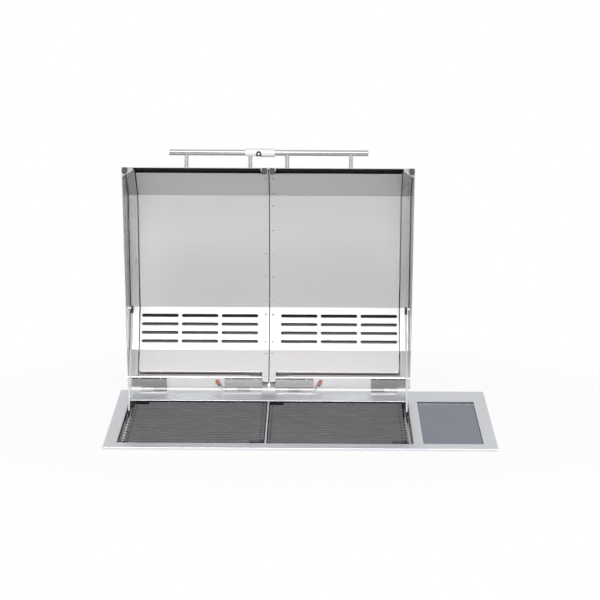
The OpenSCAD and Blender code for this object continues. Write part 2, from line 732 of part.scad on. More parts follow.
// Hinge: knuckles cut into equal runs along u, even or odd ones kept
module knuckles(u0, w, n, first) {
  run = (w - (n - 1) * gap) / n;
  for (i = [first:2:n - 1]) translate([u0 + i * (run + gap), 0, 0]) {
    difference() {
      children();
      translate([-1, 0, 0]) rod_x(0, run + 2, pin_r + run_fit);
    }
  }
}
module knuckle(w, n, up) {
  run = (w - (n - 1) * gap) / n;
  rod_x(0, run, knuckle_r);
  if (up) box([0, -leaf_l, rim_h - leaf_t], [run, 0, rim_h]);
  else box([0, -leaf_l, -hinge_up], [run, 0, leaf_t - hinge_up]);
}
module leaf(u0, u1, up) {
  y = knuckle_r + gap;
  if (up) box([u0, -leaf_l, rim_h - leaf_t], [u1, -y, rim_h]);
  else box([u0, -leaf_l, -hinge_up], [u1, -y, leaf_t - hinge_up]);
}
module hinge_leaves(s) {
  translate([lid_cx - cx, hinge_y, hinge_z]) side(s) {
    knuckles(outer_hinge_u, outer_hinge_w, 2, 1) knuckle(outer_hinge_w, 2, false);
    leaf(outer_hinge_u, outer_hinge_u + outer_hinge_w, false);
    knuckles(inner_hinge_u, inner_hinge_w, 3, 0) knuckle(inner_hinge_w, 3, false);
    leaf(inner_hinge_u, inner_hinge_u + inner_hinge_w, false);
  }
}
module left_hinge_leaves() { color("darkgray") hinge_leaves(LEFT); }
module right_hinge_leaves() { color("darkgray") hinge_leaves(RIGHT); }
module hinge_pin(s) {
  translate([lid_cx - cx, hinge_y, hinge_z]) side(s)
    rod_x(outer_hinge_u + 0.5, outer_hinge_u + outer_hinge_w - 0.5, pin_r);
}
module left_hinge_pin() { color("gray") hinge_pin(LEFT); }
module right_hinge_pin() { color("gray") hinge_pin(RIGHT); }
module lid_hinge_leaves(s) {
  lid_frame(s) {
    knuckles(outer_hinge_u, outer_hinge_w, 2, 0) knuckle(outer_hinge_w, 2, true);
    leaf(outer_hinge_u, outer_hinge_u + outer_hinge_w + leaf_reach, true);
    knuckles(inner_hinge_u, inner_hinge_w, 3, 1) knuckle(inner_hinge_w, 3, true);
    leaf(inner_hinge_u, inner_hinge_u + inner_hinge_w, true);
  }
}

// Lid shell: one bent sheet with corner gussets for the bumpers and a notch for the liner's tab
module lid_shell(s) {
  lid_frame(s) difference() {
    union() {
      across(lid_in, lid_out, sheet_outline(rounded(shell_pts, bend_r), -lid_t));
      for (q = [[lid_in, gusset_in], [lid_out, -gusset_out]])
        translate([q[0], 0, rim_h]) linear_extrude(lid_t) polygon([
          [0, -lid_len + 1], [q[1], -lid_len + 1], [q[1], 7 - lid_len],
          [0.6 * q[1], 13 - lid_len], [0, abs(q[1]) - lid_len]]);
    }
    box([lid_in - 1, -lip_y - 1, rim_h - 1], [lid_in + tab_w + 0.5, -tab_clear, rim_h + lip_h + 1]);
    box([lid_in - 1, -lid_len - 1, rim_h - 2 * lid_t], [lid_out + 1, 3 * lid_t - lid_len, rim_h]);
    translate([0, lid_t + 0.5 - lip_y, 0]) rotate([90, 0, 0]) linear_extrude(lid_t + 1.5) polygon([
      [lid_in - 1, rim_in], [lip_cut, rim_in], [lip_cut + 0.75 * (lip_h - lid_t), rim_h + lip_h],
      [lip_cut + 0.75 * (lip_h - lid_t), rim_h + lip_h + 1], [lid_in - 1, rim_h + lip_h + 1]]);
    box([liner_out, -lip_y - 1, rim_in], [lid_out + 1, -lip_y + bend_r + 1.5, rim_h + lip_h + 1]);
  }
}
module lid_outer_cheek(s) {
  lid_frame(s) {
    across(lid_out - lid_t, lid_out, inner_pts);
    across(lid_out - lid_t - strip_w, lid_out - lid_t + eps,
      sheet_outline(rounded([strip_y0, p1, p2, p3, strip_y1], bend_r), lid_t));
  }
}
// Closing plate of the double wall on the centre side, with the ledge that the liner is screwed to
module lid_inner_cheek(s) {
  d = dir(-brow_ang);
  back = mitred(rounded([p0 + ledge_end * dir(lower_ang), p1, p2, p3, p4 - ledge_end * d], bend_r), lid_t);
  lid_frame(s) {
    across(lid_in, lid_in + lid_t, concat(inner_pts, [[lid_len - 11, rim_in], p4 + 2 * d,
      p4 + 2 * d + (lid_t + 0.3) * nrm(-brow_ang)], reversed(back), [[tab_clear, rim_in]]));
    across(lid_in + lid_t - eps, lid_in + lid_t + ledge_w, sheet_outline(back, lid_t));
  }
}
module lid_liner(s) {
  lid_frame(s) {
    across(lid_in, return_u + eps, sheet_outline(rounded([p2, p3, p4], bend_r), lid_t));
    across(return_u, liner_out,
      sheet_outline(rounded([p2, p3, p4, p4 + brow_return * nrm(-brow_ang)], bend_r), lid_t));
  }
}
module lid_vent_panel(s) {
  u0 = lid_in + slot_in;
  w = (liner_out - slot_out - u0 - (slot_cols - 1) * slot_bridge) / slot_cols;
  lid_frame(s) difference() {
    union() {
      across(lid_in, return_u + eps, sheet_outline(rounded([p0, p1, p2], bend_r), lid_t));
      across(return_u, liner_out,
        sheet_outline(rounded([p0 + vent_return * nrm(lower_ang), p0, p1, p2], bend_r), lid_t));
      on_plane(0, p0, lower_ang) linear_extrude(lid_t) {
        square_at(lid_in, -bend_r - 4, tab_w, tab_len - tab_r + bend_r + 4);
        square_at(lid_in, 0, tab_w - tab_r, tab_len);
        translate([lid_in + tab_w - tab_r, tab_len - tab_r]) circle(tab_r);
      }
    }
    for (i = [1:slot_rows], j = [0:slot_cols - 1])
      on_plane(u0 + j * (w + slot_bridge), p2 + (p1 - p2) * i / (slot_rows + 1), vent_ang) {
        box([slot_w / 2, -slot_w / 2, -1], [w - slot_w / 2, slot_w / 2, lid_t + 1]);
        for (x = [slot_w / 2, w - slot_w / 2]) translate([x, 0, -1]) cylinder(r = slot_w / 2, h = lid_t + 2);
      }
    on_plane(liner_out - corner_r, p0, lower_ang) difference() {
      box([0, -corner_r, -1], [corner_r + 1, corner_r, vent_return + 2]);
      translate([0, -corner_r, -2]) cylinder(r = corner_r, h = vent_return + 4);
    }
  }
}
module square_at(x, y, w, h) {
  translate([x, y]) square([w, h]);
}
// Rubber at the lid's edges: two bumpers and the strip that fills the front fold
module lid_seals(s) {
  n = nrm(-brow_ang);
  nf = nrm(-face_ang);
  face_in = foot_pt - (lid_t + glue_t) * nf;
  low = face_in - 2 * dir(-face_ang);
  top = meet(p4 + brow_return * n, -brow_ang, face_in, -face_ang);
  lid_frame(s) {
    for (u = [bumper_u0, bumper_u1])
      translate([u, -bumper_y, 0]) rotate_extrude() polygon([
        [0, bumper_z0], [bumper_r - 1.2, bumper_z0], [bumper_r, bumper_z0 + 1.2],
        [bumper_r, rim_h], [0, rim_h]]);
    across(lid_in + gusset_in + gap, min(liner_out, lid_out - gusset_out - gap), [low, low - felt_t * nf,
      meet(p4 + lid_t * n, -brow_ang, face_in - felt_t * nf, -face_ang),
      p4 + lid_t * n, p4 + brow_return * n, top]);
  }
}
// Gasket on the left lid that closes the slit between the lids
module centre_gasket() {
  lid_frame(LEFT) across(gap - lid_in, lid_in, sheet_outline(mitred(
    [a1 + 4 * dir(lower_ang), a2, a3, a4, a5, foot_pt - 12 * dir(-face_ang)], -2), -gasket_w));
}

// Handles
module handle_bar(s) {
  lid_frame(s) translate([0, -bar_c[0], bar_c[1]]) rotate([0, 90, 0]) rotate_extrude() polygon([
    [0, lid_in], [bar_r - 0.8, lid_in], [bar_r, lid_in + 0.8], [bar_r, lid_in + bar_l - 1.2],
    [bar_r - 1.2, lid_in + bar_l], [0, lid_in + bar_l]]);
}
module handle_posts(s) {
  lid_frame(s) difference() {
    for (u = [post_u, post_u + post_pitch]) on_plane(u, face_mid, -face_ang) {
      cylinder(r = post_r, h = bar_off);
      cylinder(r = post_r + 2.5, h = 2);
    }
    translate([0, -bar_c[0], bar_c[1]]) rod_x(lid_in, lid_in + bar_l, bar_r);
  }
}
// Sleeve that links the two bars; its open slot passes the left handle's inner post
module handle_sleeve() {
  u1 = sleeve_l - sleeve_lap;
  u_slot = post_u - post_r - gap - sleeve_travel;
  color("white") lid_frame(LEFT) on_plane(0, bar_c, -face_ang) difference() {
    translate([-sleeve_lap, 0, 0]) rotate([0, 90, 0]) rotate_extrude() polygon([
      [bar_r + run_fit, 0], [sleeve_r - 0.8, 0], [sleeve_r, 0.8], [sleeve_r, sleeve_l - 0.8],
      [sleeve_r - 0.8, sleeve_l], [bar_r + run_fit, sleeve_l]]);
    box([u_slot, -post_slot / 2, -sleeve_r - 1], [u1 + 1, post_slot / 2, 0]);
  }
}
// Arched detent spring on the sleeve
module sleeve_catch() {
  color("black") lid_frame(LEFT) on_plane(catch_u, bar_c, -face_ang) rotate([108, 0, 0]) intersection() {
    difference() {
      rod_x(-8, 8, sleeve_r + 0.8);
      rod_x(-9, 9, sleeve_r);
    }
    difference() {
      union() {
        box([-5.4, -5, 0], [5.4, 0, 20]);
        cylinder(r = 5.4, h = 20);
      }
      box([-2.4, -2.6, 0], [2.4, 0, 21]);
      cylinder(r = 2.4, h = 21);
    }
  }
}

// Stays
module stay_bracket(s) {
  u = stay_u + s * lid_shift;
  u1 = lid_out - lid_t;
  plate_t = 2.5;
  lid_frame(s) {
    across(u1 - plate_t, u1, [
      [stay_y + 7, stay_h - 5], [stay_y + 7, stay_h + 5], [stay_y - 3, stay_h + 30],
      [stay_y - 12, stay_h + 30], [stay_y - 7, stay_h - 5]]);
    translate([0, -stay_y, stay_h]) {
      rod_x(u - eye_w / 2 - gap - 1.5, u1 - plate_t + eps, pivot_r);
      rod_x(u - eye_w / 2 - gap - 1.5, u - eye_w / 2 - gap, pivot_r + 1.5);
      rod_x(u + eye_w / 2 + gap, u1 - plate_t + eps, pivot_r + 1.5);
    }
  }
}
// Children drawn with X across and Z down the stay, from its pivot
module stay_frame(s) {
  side(s) translate([stay_u, stay_top[0], stay_top[1]]) rotate([90 + stay_tilt, 0, 0]) children();
}
module stay_rod(s) {
  stay_frame(s) translate([0, 0, eye_r + 2]) cylinder(r = stay_r, h = stay_l - eye_r - 2 - foot_r);
}
module stay_fittings(s) {
  stay_frame(s) {
    difference() {
      union() {
        rod_x(-eye_w / 2, eye_w / 2, eye_r);
        translate([0, 0, eye_r - 0.8]) cylinder(r = boot_r, h = boot_l + 2);
      }
      rod_x(-eye_w, eye_w, pivot_r + run_fit);
      translate([0, 0, eye_r + 2]) cylinder(r = stay_r, h = stay_l);
    }
    difference() {
      union() {
        translate([0, 0, stay_l]) rod_x(-foot_w / 2, foot_w / 2, foot_r);
        translate([0, 0, stay_l - foot_r - boot_l]) cylinder(r = boot_r, h = foot_r + boot_l - 1);
      }
      cylinder(r = stay_r, h = stay_l - foot_r);
    }
  }
}

// Release pin of the inner hinge, with its slanting lever and cap
module release_pin(s) {
  u1 = inner_hinge_u + inner_hinge_w + 4;
  lid_frame(s) {
    rod_x(inner_hinge_u + 0.5, u1 + 0.6, pin_r);
    translate([u1, 0, 0]) sphere(r = pin_r);
    translate([u1, 0, 0]) lever_turn() cylinder(r = pin_r - 0.3, h = lever_l);
  }
}
module lever_turn() {
  rotate([0, 0, -lever_ang]) rotate([0, 90, 0]) children();
}
module release_cap(s) {
  u1 = inner_hinge_u + inner_hinge_w + 4;
  lid_frame(s) translate([u1, 0, 0]) lever_turn() translate([0, 0, lever_l - 10]) rotate_extrude() polygon([
    [pin_r - 0.3, 0], [pin_r + 0.6, 0], [pin_r + 0.9, 1], [pin_r + 0.9, 10.5], [pin_r, 12], [0, 12], [0, 10],
    [pin_r - 0.3, 10]]);
}

module left_lid_shell() { color("silver") lid_shell(LEFT); }
module right_lid_shell() { color("silver") lid_shell(RIGHT); }
module left_lid_outer_cheek() { color("lightgray") lid_outer_cheek(LEFT); }
module right_lid_outer_cheek() { color("lightgray") lid_outer_cheek(RIGHT); }
module left_lid_inner_cheek() { color("darkgray") lid_inner_cheek(LEFT); }
module right_lid_inner_cheek() { color("darkgray") lid_inner_cheek(RIGHT); }
module left_lid_liner() { color("gainsboro") lid_liner(LEFT); }
module right_lid_liner() { color("gainsboro") lid_liner(RIGHT); }
module left_lid_vent_panel() { color("white") lid_vent_panel(LEFT); }
module right_lid_vent_panel() { color("white") lid_vent_panel(RIGHT); }
module left_lid_seals() {
  color("black") {
    lid_seals(LEFT);
    centre_gasket();
  }
}
module right_lid_seals() { color("black") lid_seals(RIGHT); }
module left_lid_hinge_leaves() { color("gray") lid_hinge_leaves(LEFT); }
module right_lid_hinge_leaves() { color("gray") lid_hinge_leaves(RIGHT); }
module left_handle_bar() { color("lightsteelblue") handle_bar(LEFT); }
module right_handle_bar() { color("lightsteelblue") handle_bar(RIGHT); }
module left_handle_posts() { color("steelblue") handle_posts(LEFT); }
module right_handle_posts() { color("steelblue") handle_posts(RIGHT); }
module left_stay_bracket() { color("black") stay_bracket(LEFT); }
module right_stay_bracket() { color("black") stay_bracket(RIGHT); }
module left_stay_rod() { color("lightsteelblue") stay_rod(LEFT); }
module right_stay_rod() { color("lightsteelblue") stay_rod(RIGHT); }
module left_stay_fittings() { color("black") stay_fittings(LEFT); }
module right_stay_fittings() { color("black") stay_fittings(RIGHT); }
module left_release_pin() { color("silver") release_pin(LEFT); }
module right_release_pin() { color("silver") release_pin(RIGHT); }
module left_release_cap() { color("orangered") release_cap(LEFT); }
module right_release_cap() { color("orangered") release_cap(RIGHT); }

top_plate();
worktop_seal();
outer_housing();
housing_left_end();
housing_right_end();
worktop_clamps();
well_tub();
plate_rests();
well_divider();
left_drip_tray();
right_drip_tray();
left_heating_element();
right_heating_element();
element_bars();
left_stay_rail();
right_stay_rail();
control_glass();
glass_frame();
control_board();
power_board();
heat_shield();
terminal_block();
cable_gland();
left_hinge_leaves();
right_hinge_leaves();
left_hinge_pin();
right_hinge_pin();
left_grill_plate();
right_grill_plate();
left_lid_shell();
left_lid_outer_cheek();
left_lid_inner_cheek();
left_lid_liner();
left_lid_vent_panel();
left_lid_seals();
left_lid_hinge_leaves();
left_handle_bar();
left_handle_posts();
left_stay_bracket();
right_lid_shell();
right_lid_outer_cheek();
right_lid_inner_cheek();
right_lid_liner();
right_lid_vent_panel();
right_lid_seals();
right_lid_hinge_leaves();
right_handle_bar();
right_handle_posts();
right_stay_bracket();
left_stay_rod();
left_stay_fittings();
right_stay_rod();
right_stay_fittings();
handle_sleeve();
sleeve_catch();
left_release_pin();
left_release_cap();
right_release_pin();
right_release_cap();
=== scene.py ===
"""Looks, camera and light for a built-in electric grill with two linked hood lids."""

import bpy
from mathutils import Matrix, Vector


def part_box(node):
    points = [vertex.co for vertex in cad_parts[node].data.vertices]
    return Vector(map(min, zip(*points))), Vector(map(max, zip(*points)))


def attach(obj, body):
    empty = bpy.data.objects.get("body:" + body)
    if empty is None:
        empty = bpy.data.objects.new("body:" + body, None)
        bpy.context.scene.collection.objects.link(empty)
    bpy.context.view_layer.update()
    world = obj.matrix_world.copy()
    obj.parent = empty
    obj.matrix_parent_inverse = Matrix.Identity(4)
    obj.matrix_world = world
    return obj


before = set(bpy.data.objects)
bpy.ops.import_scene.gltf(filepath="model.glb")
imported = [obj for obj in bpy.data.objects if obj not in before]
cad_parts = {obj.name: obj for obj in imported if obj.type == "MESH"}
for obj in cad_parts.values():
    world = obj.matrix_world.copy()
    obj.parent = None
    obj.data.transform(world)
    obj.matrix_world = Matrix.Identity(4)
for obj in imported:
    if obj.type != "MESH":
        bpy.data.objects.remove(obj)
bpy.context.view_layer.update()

import logging
import math
from dataclasses import dataclass, field
from enum import Enum

import bmesh
import bpy
from mathutils import Matrix, Vector

LOG = logging.getLogger("grill")
MM = 0.001
Colour = tuple[float, float, float]
Point = tuple[float, float]
Spot = tuple[float, float, float]
Socket = bpy.types.NodeSocket
Shader = bpy.types.Node
Lookable = bpy.types.Material | bpy.types.World
Mesh = bmesh.types.BMesh
WHITE = (1.0, 1.0, 1.0)
FULL = (0.0, 1.0)
LIDS_CENTRE_MM = -68.25
WELD_GAP = 1e-6
BEVEL_STEPS = 2
EDGE_ANGLE = math.radians(40)
FOLD_ANGLE = math.radians(30)
LARGE_FACE_WEIGHT = 100


class Side(Enum):
    """The two lids, named as the cook sees them."""

    LEFT = -1
    RIGHT = 1

    @property
    def word(self) -> str:
        """The side's name as the nodes spell it."""
        return self.name.lower()


class Grain(Enum):
    """Direction in which a sheet was brushed, as texture scale along X, Y and Z."""

    ACROSS = (0.02, 1.0, 1.0)
    UPRIGHT = (1.0, 1.0, 0.02)
    LENGTHWISE = (1.0, 0.02, 0.02)
    NONE = (1.0, 1.0, 1.0)


class Graph:
    """Builder for the nodes of a material or a world."""

    def __init__(self, owner: Lookable, output: str = "OutputMaterial") -> None:
        """Empty the owner's nodes.

        Args:
            owner: the new material or world.
            output: type of its output node.
        """
        self.owner = owner
        self.owner.use_nodes = True
        self.tree = self.owner.node_tree
        self.tree.nodes.clear()
        self.output = self.add(output)

    def add(self, kind: str, **values: object) -> Shader:
        """Add a node; capitalised keywords are sockets, the others are properties.

        Args:
            kind: the node's type without its ShaderNode prefix.
            values: socket or property values; an output socket is linked.

        Returns:
            The new node.
        """
        node = self.tree.nodes.new("ShaderNode" + kind)
        for key, value in values.items():
            if key[0].islower():
                setattr(node, key, value)
                continue
            socket = node.inputs[key.replace("_", " ")]
            self.feed(socket, value)
        return node

    def feed(self, socket: Socket, value: object) -> None:
        """Link or set an input.

        Args:
            socket: the input.
            value: an output socket to link, or a value.
        """
        if isinstance(value, Socket):
            self.tree.links.new(value, socket)
        else:
            socket.default_value = value

    def noise(self, coords: Socket, scale: float, detail: float = 3.0) -> Socket:
        """Add a noise texture.

        Args:
            coords: the coordinates it reads.
            scale: its frequency per metre.
            detail: its number of octaves.

        Returns:
            The noise value, from 0 to 1.
        """
        return self.add("TexNoise", Vector=coords, Scale=scale, Detail=detail).outputs[0]

    def spread(self, value: Socket, low: float, high: float, span: Point = (0.3, 0.7)) -> Socket:
        """Map a value to a range.

        Args:
            value: the value to map.
            low: result at the low end.
            high: result at the high end.
            span: the part of the input that is used.

        Returns:
            The mapped value.
        """
        ends = {"From_Min": span[0], "From_Max": span[1], "To_Min": low, "To_Max": high}
        return self.add("MapRange", Value=value, **ends).outputs[0]

    def tones(self, value: Socket, dark: Colour, light: Colour, span: Point = (0.3, 0.7)) -> Socket:
        """Map a value to a colour between two tones.

        Args:
            value: the value to map.
            dark: colour at the low end.
            light: colour at the high end.
            span: the part of the input that is used.

        Returns:
            The colour socket.
        """
        ramp = self.add("ValToRGB", Fac=value)
        ends = ramp.color_ramp.elements
        ends[0].position, ends[0].color = span[0], (*dark, 1.0)
        ends[1].position, ends[1].color = span[1], (*light, 1.0)
        return ramp.outputs[0]

    def mixed(self, fac: Socket | float, a: object, b: object, how: str = "MIX") -> Socket:
        """Mix two colours.

        Args:
            fac: share of the second colour.
            a: first colour or socket.
            b: second colour or socket.
            how: blend type.

        Returns:
            The colour socket.
        """
        return self.add("MixRGB", blend_type=how, Fac=fac, Color1=a, Color2=b).outputs[0]

    def times(self, a: object, b: object) -> Socket:
        """Multiply two colours, or a colour and a value.

        Args:
            a: first colour or socket.
            b: second colour or socket.

        Returns:
            The colour socket.
        """
        return self.mixed(1.0, a, b, "MULTIPLY")

    def math(self, how: str, *values: Socket | float) -> Socket:
        """Add a sum on one to three values.

        Args:
            how: the operation.
            values: sockets or numbers, in order.

        Returns:
            The result's socket.
        """
        node = self.add("Math", operation=how)
        for socket, value in zip(node.inputs, values):
            self.feed(socket, value)
        return node.outputs[0]

    def blend(self, fac: Socket | float, first: Shader, second: Shader) -> Shader:
        """Mix two shaders.

        Args:
            fac: share of the second one.
            first: first shader node.
            second: second shader node.

        Returns:
            The mixing node.
        """
        node = self.add("MixShader", Fac=fac)
        self.tree.links.new(first.outputs[0], node.inputs[1])
        self.tree.links.new(second.outputs[0], node.inputs[2])
        return node

    def bump(self, height: Socket, strength: float, depth: float = 0.0002) -> Socket:
        """Turn a height into a normal.

        Args:
            height: the height socket.
            strength: how strongly it shows.
            depth: depth in metres for a height of 1.

        Returns:
            The normal socket.
        """
        return self.add("Bump", Height=height, Strength=strength, Distance=depth).outputs[0]

    def close(self, shader: Shader) -> Lookable:
        """Link the last shader to the output.

        Args:
            shader: the last shader node.

        Returns:
            The finished material or world.
        """
        self.tree.links.new(shader.outputs[0], self.output.inputs[0])
        return self.owner


def scaled(tint: Colour, by: float) -> Colour:
    """A colour made lighter or darker.

    Args:
        tint: the colour.
        by: the factor.

    Returns:
        The new colour.
    """
    return (tint[0] * by, tint[1] * by, tint[2] * by)


def around(tint: Colour, by: float) -> tuple[Colour, Colour]:
    """A colour's darker and lighter tones.

    Args:
        tint: the colour.
        by: how far each tone lies from it.

    Returns:
        The dark tone and the light one.
    """
    return scaled(tint, 1.0 - by), scaled(tint, 1.0 + by)


@dataclass(frozen=True)
class Finish:
    """One finish; subclasses wire its nodes."""

    name: str

    def wire(self, graph: Graph) -> Shader:
        """Wire the finish's nodes.

        Args:
            graph: the material being built.

        Returns:
            The last shader node.
        """
        raise NotImplementedError

    def material(self) -> bpy.types.Material:
        """Make the finish's material on first use.

        Returns:
            The material.
        """
        made = bpy.data.materials.get(self.name)
        if made is None:
            graph = Graph(bpy.data.materials.new(self.name))
            made = graph.close(self.wire(graph))
        return made


@dataclass(frozen=True)
class BrushedSteel(Finish):
    """Stainless sheet with brush lines, soft clouds and faint handling marks."""

    tint: Colour = (0.7, 0.7, 0.7)
    rough: Point = (0.3, 0.4)
    grain: Grain = Grain.ACROSS
    fine: float = 1500.0
    cloud: float = 0.03
    bump: float = 0.08
    metal: float = 1.0
    lines: float = 0.045

    def colour(self, graph: Graph, coords: Socket, lines: Socket) -> Socket:
        """Wire the sheet's colour.

        Args:
            graph: the material being built.
            coords: the piece's coordinates.
            lines: the brush lines.

        Returns:
            The colour socket.
        """
        clouds = graph.noise(coords, scale=7.0, detail=2.0)
        base = graph.tones(lines, *around(self.tint, self.lines))
        shade = graph.tones(clouds, scaled(WHITE, 1.0 - self.cloud), WHITE)
        return graph.times(base, shade)

    def wire(self, graph: Graph) -> Shader:
        """Wire brush lines into colour, gloss and relief.

        Args:
            graph: the material being built.

        Returns:
            The shader node.
        """
        coords = graph.add("TexCoord").outputs["Object"]
        along = graph.add("Mapping", Vector=coords, Scale=self.grain.value).outputs[0]
        lines = graph.noise(along, self.fine, detail=4.0)
        marks = graph.noise(coords, scale=60.0, detail=6.0)
        soft = graph.spread(marks, low=-0.008, high=0.012, span=(0.35, 0.65))
        gloss = graph.math("ADD", graph.spread(lines, *self.rough), soft)
        tone = self.colour(graph, coords, lines)
        return graph.add("BsdfPrincipled", Base_Color=tone, Metallic=self.metal, Roughness=gloss,
                         Normal=graph.bump(lines, self.bump))


@dataclass(frozen=True)
class ShellSteel(BrushedSteel):
    """Hood shell steel with painted shade on its inside behind the vent slots; metres, lid open."""

    # Share of the colour that the painted shade leaves, below and above the top row of slots.
    stain: Point = (0.42, 0.1)
    top_row: Point = (0.132, 0.143)
    inside: Point = (-0.3, -0.1)
    low: Point = (0.055, 0.07)
    high: Point = (0.2, 0.22)

    def colour(self, graph: Graph, coords: Socket, lines: Socket) -> Socket:
        """Wire the shell's colour with the zone of painted shade.

        Args:
            graph: the material being built.
            coords: the piece's coordinates.
            lines: the brush lines.

        Returns:
            The colour socket.
        """
        base = super().colour(graph, coords, lines)
        facing = graph.add("SeparateXYZ", Vector=graph.add("TexCoord").outputs["Normal"]).outputs[1]
        height = graph.add("SeparateXYZ", Vector=coords).outputs[2]
        above = graph.spread(height, 0.0, 1.0, self.low)
        zone = graph.math("MULTIPLY", above, graph.spread(height, 1.0, 0.0, self.high))
        # Painted shade: inward-facing shell between these heights is darkened, standing in for the
        # shade seen through the vent slots.
        painted_shade = graph.math("MULTIPLY", zone, graph.spread(facing, 1.0, 0.0, self.inside))
        left = graph.spread(height, *self.stain, self.top_row)
        shade_lost = graph.math("MULTIPLY", painted_shade, graph.math("SUBTRACT", 1.0, left))
        return graph.times(base, graph.math("SUBTRACT", 1.0, shade_lost))


@dataclass(frozen=True)
class LeafSteel(BrushedSteel):
    """Hinge leaf steel, with painted shade on the outer leaves above the knuckles, standing in for
    a dark reflection; metres, lid open.
    """

    # Tone that the painted shade leaves on the outer leaves.
    outer: float = 0.62
    centre_x: float = LIDS_CENTRE_MM * MM
    split: Point = (0.15, 0.16)
    knuckle: Point = (0.0135, 0.0155)

    def colour(self, graph: Graph, coords: Socket, lines: Socket) -> Socket:
        """Wire the leaf's colour with the painted shade on its outer end.

        Args:
            graph: the material being built.
            coords: the piece's coordinates.
            lines: the brush lines.

        Returns:
            The colour socket.
        """
        base = super().colour(graph, coords, lines)
        axes = graph.add("SeparateXYZ", Vector=coords).outputs
        off = graph.math("ABSOLUTE", graph.math("SUBTRACT", axes[0], self.centre_x))
        aside = graph.spread(off, 0.0, 1.0, self.split)
        raised = graph.spread(axes[2], 0.0, 1.0, self.knuckle)
        # Painted shade: the outer leaves above the knuckles are darkened to stand in for the dark
        # reflection they show.
        tone = graph.spread(graph.math("MULTIPLY", aside, raised), 1.0, self.outer, FULL)
        return graph.times(base, tone)


@dataclass(frozen=True)
class PolishedSteel(Finish):
    """Round bar or pin, turned and polished, with fine rings and light wipe marks."""

    tint: Colour = (0.75, 0.75, 0.76)
    rough: Point = (0.12, 0.2)
    turned: Spot = (1.0, 0.03, 0.03)

    def wire(self, graph: Graph) -> Shader:
        """Wire turning rings and wipe marks.

        Args:
            graph: the material being built.

        Returns:
            The shader node.
        """
        coords = graph.add("TexCoord").outputs["Object"]
        squeezed = graph.add("Mapping", Vector=coords, Scale=self.turned).outputs[0]
        rings = graph.noise(squeezed, scale=2500.0, detail=2.0)
        wipes = graph.noise(coords, scale=90.0, detail=5.0)
        colour = graph.tones(rings, dark=scaled(self.tint, 0.96), light=scaled(self.tint, 1.03))
        rough = graph.spread(wipes, *self.rough)
        normal = graph.bump(rings, strength=0.01, depth=0.0001)
        return graph.add("BsdfPrincipled", Base_Color=colour, Metallic=1.0, Roughness=rough,
                         Normal=normal)


@dataclass(frozen=True)
class CoatedCasting(Finish):
    """Dark coat on a ribbed cast plate with painted shade in the grooves and a line inside each
    side border; metres at rest.
    """

    dark: Colour = (0.061, 0.063, 0.069)
    light: Colour = (0.102, 0.106, 0.113)
    groove: Point = (-0.0008, 0.0019)
    # Colour factor of the painted shade at the groove floor and of the painted light on the rib
    # tops.
    groove_shade: Point = (0.5, 1.3)
    line_tone: float = 0.35
    centre_x: float = LIDS_CENTRE_MM * MM
    middle: float = 0.13675
    border: Point = (0.1262, 0.1282)

    def wire(self, graph: Graph) -> Shader:
        """Wire speckle, clouds, painted shade in the grooves with painted light on the rib tops,
        border lines and orange peel.

        Args:
            graph: the material being built.

        Returns:
            The shader node.
        """
        coords = graph.add("TexCoord").outputs["Object"]
        speckle = graph.noise(coords, scale=900.0, detail=6.0)
        clouds = graph.noise(coords, scale=18.0, detail=4.0)
        peel = graph.noise(coords, scale=420.0)
        axes = graph.add("SeparateXYZ", Vector=coords).outputs
        base = graph.tones(speckle, self.dark, self.light, span=(0.35, 0.65))
        # Painted shade: the colour is darker down in the grooves and lighter on the rib tops.
        groove_shaded = graph.times(base, graph.spread(axes[2], *self.groove_shade, self.groove))
        off = graph.math("ABSOLUTE", graph.math("SUBTRACT", axes[0], self.centre_x))
        off = graph.math("ABSOLUTE", graph.math("SUBTRACT", off, self.middle))
        inner, outer = self.border
        line = graph.math("COMPARE", off, (inner + outer) / 2, (outer - inner) / 2)
        groove_shaded = graph.times(groove_shaded, graph.spread(line, 1.0, self.line_tone, FULL))
        colour = graph.times(groove_shaded, graph.tones(clouds, dark=scaled(WHITE, 0.84), light=WHITE))
        rough = graph.spread(clouds, low=0.42, high=0.55)
        normal = graph.bump(peel, strength=0.25, depth=0.0004)
        return graph.add("BsdfPrincipled", Base_Color=colour, Roughness=rough, Normal=normal,
                         Specular_IOR_Level=0.35)


@dataclass(frozen=True)
class BackPrintedGlass(Finish):
    """Toughened glass over a slate back print, with dust and a slow ripple."""

    dark: Colour = (0.088, 0.112, 0.155)
    light: Colour = (0.108, 0.134, 0.18)

    def wire(self, graph: Graph) -> Shader:
        """Wire the print's tone, the dust and the ripple.

        Args:
            graph: the material being built.

        Returns:
            The shader node.
        """
        coords = graph.add("TexCoord").outputs["Object"]
        print_tone = graph.noise(coords, scale=4.0, detail=2.0)
        dust = graph.noise(coords, scale=1400.0, detail=2.0)
        wipes = graph.noise(coords, scale=30.0, detail=4.0)
        ripple = graph.noise(coords, scale=9.0, detail=1.0)
        base = graph.tones(print_tone, self.dark, self.light)
        flecks = graph.tones(dust, scaled(WHITE, 0.0), scaled(WHITE, 0.1), span=(0.72, 0.8))
        colour = graph.mixed(1.0, base, flecks, "ADD")
        rough = graph.spread(wipes, low=0.04, high=0.09)
        normal = graph.bump(ripple, strength=0.03, depth=0.0005)
        return graph.add("BsdfPrincipled", Base_Color=colour, Roughness=rough, Normal=normal,
                         IOR=1.16, Specular_IOR_Level=0.5)


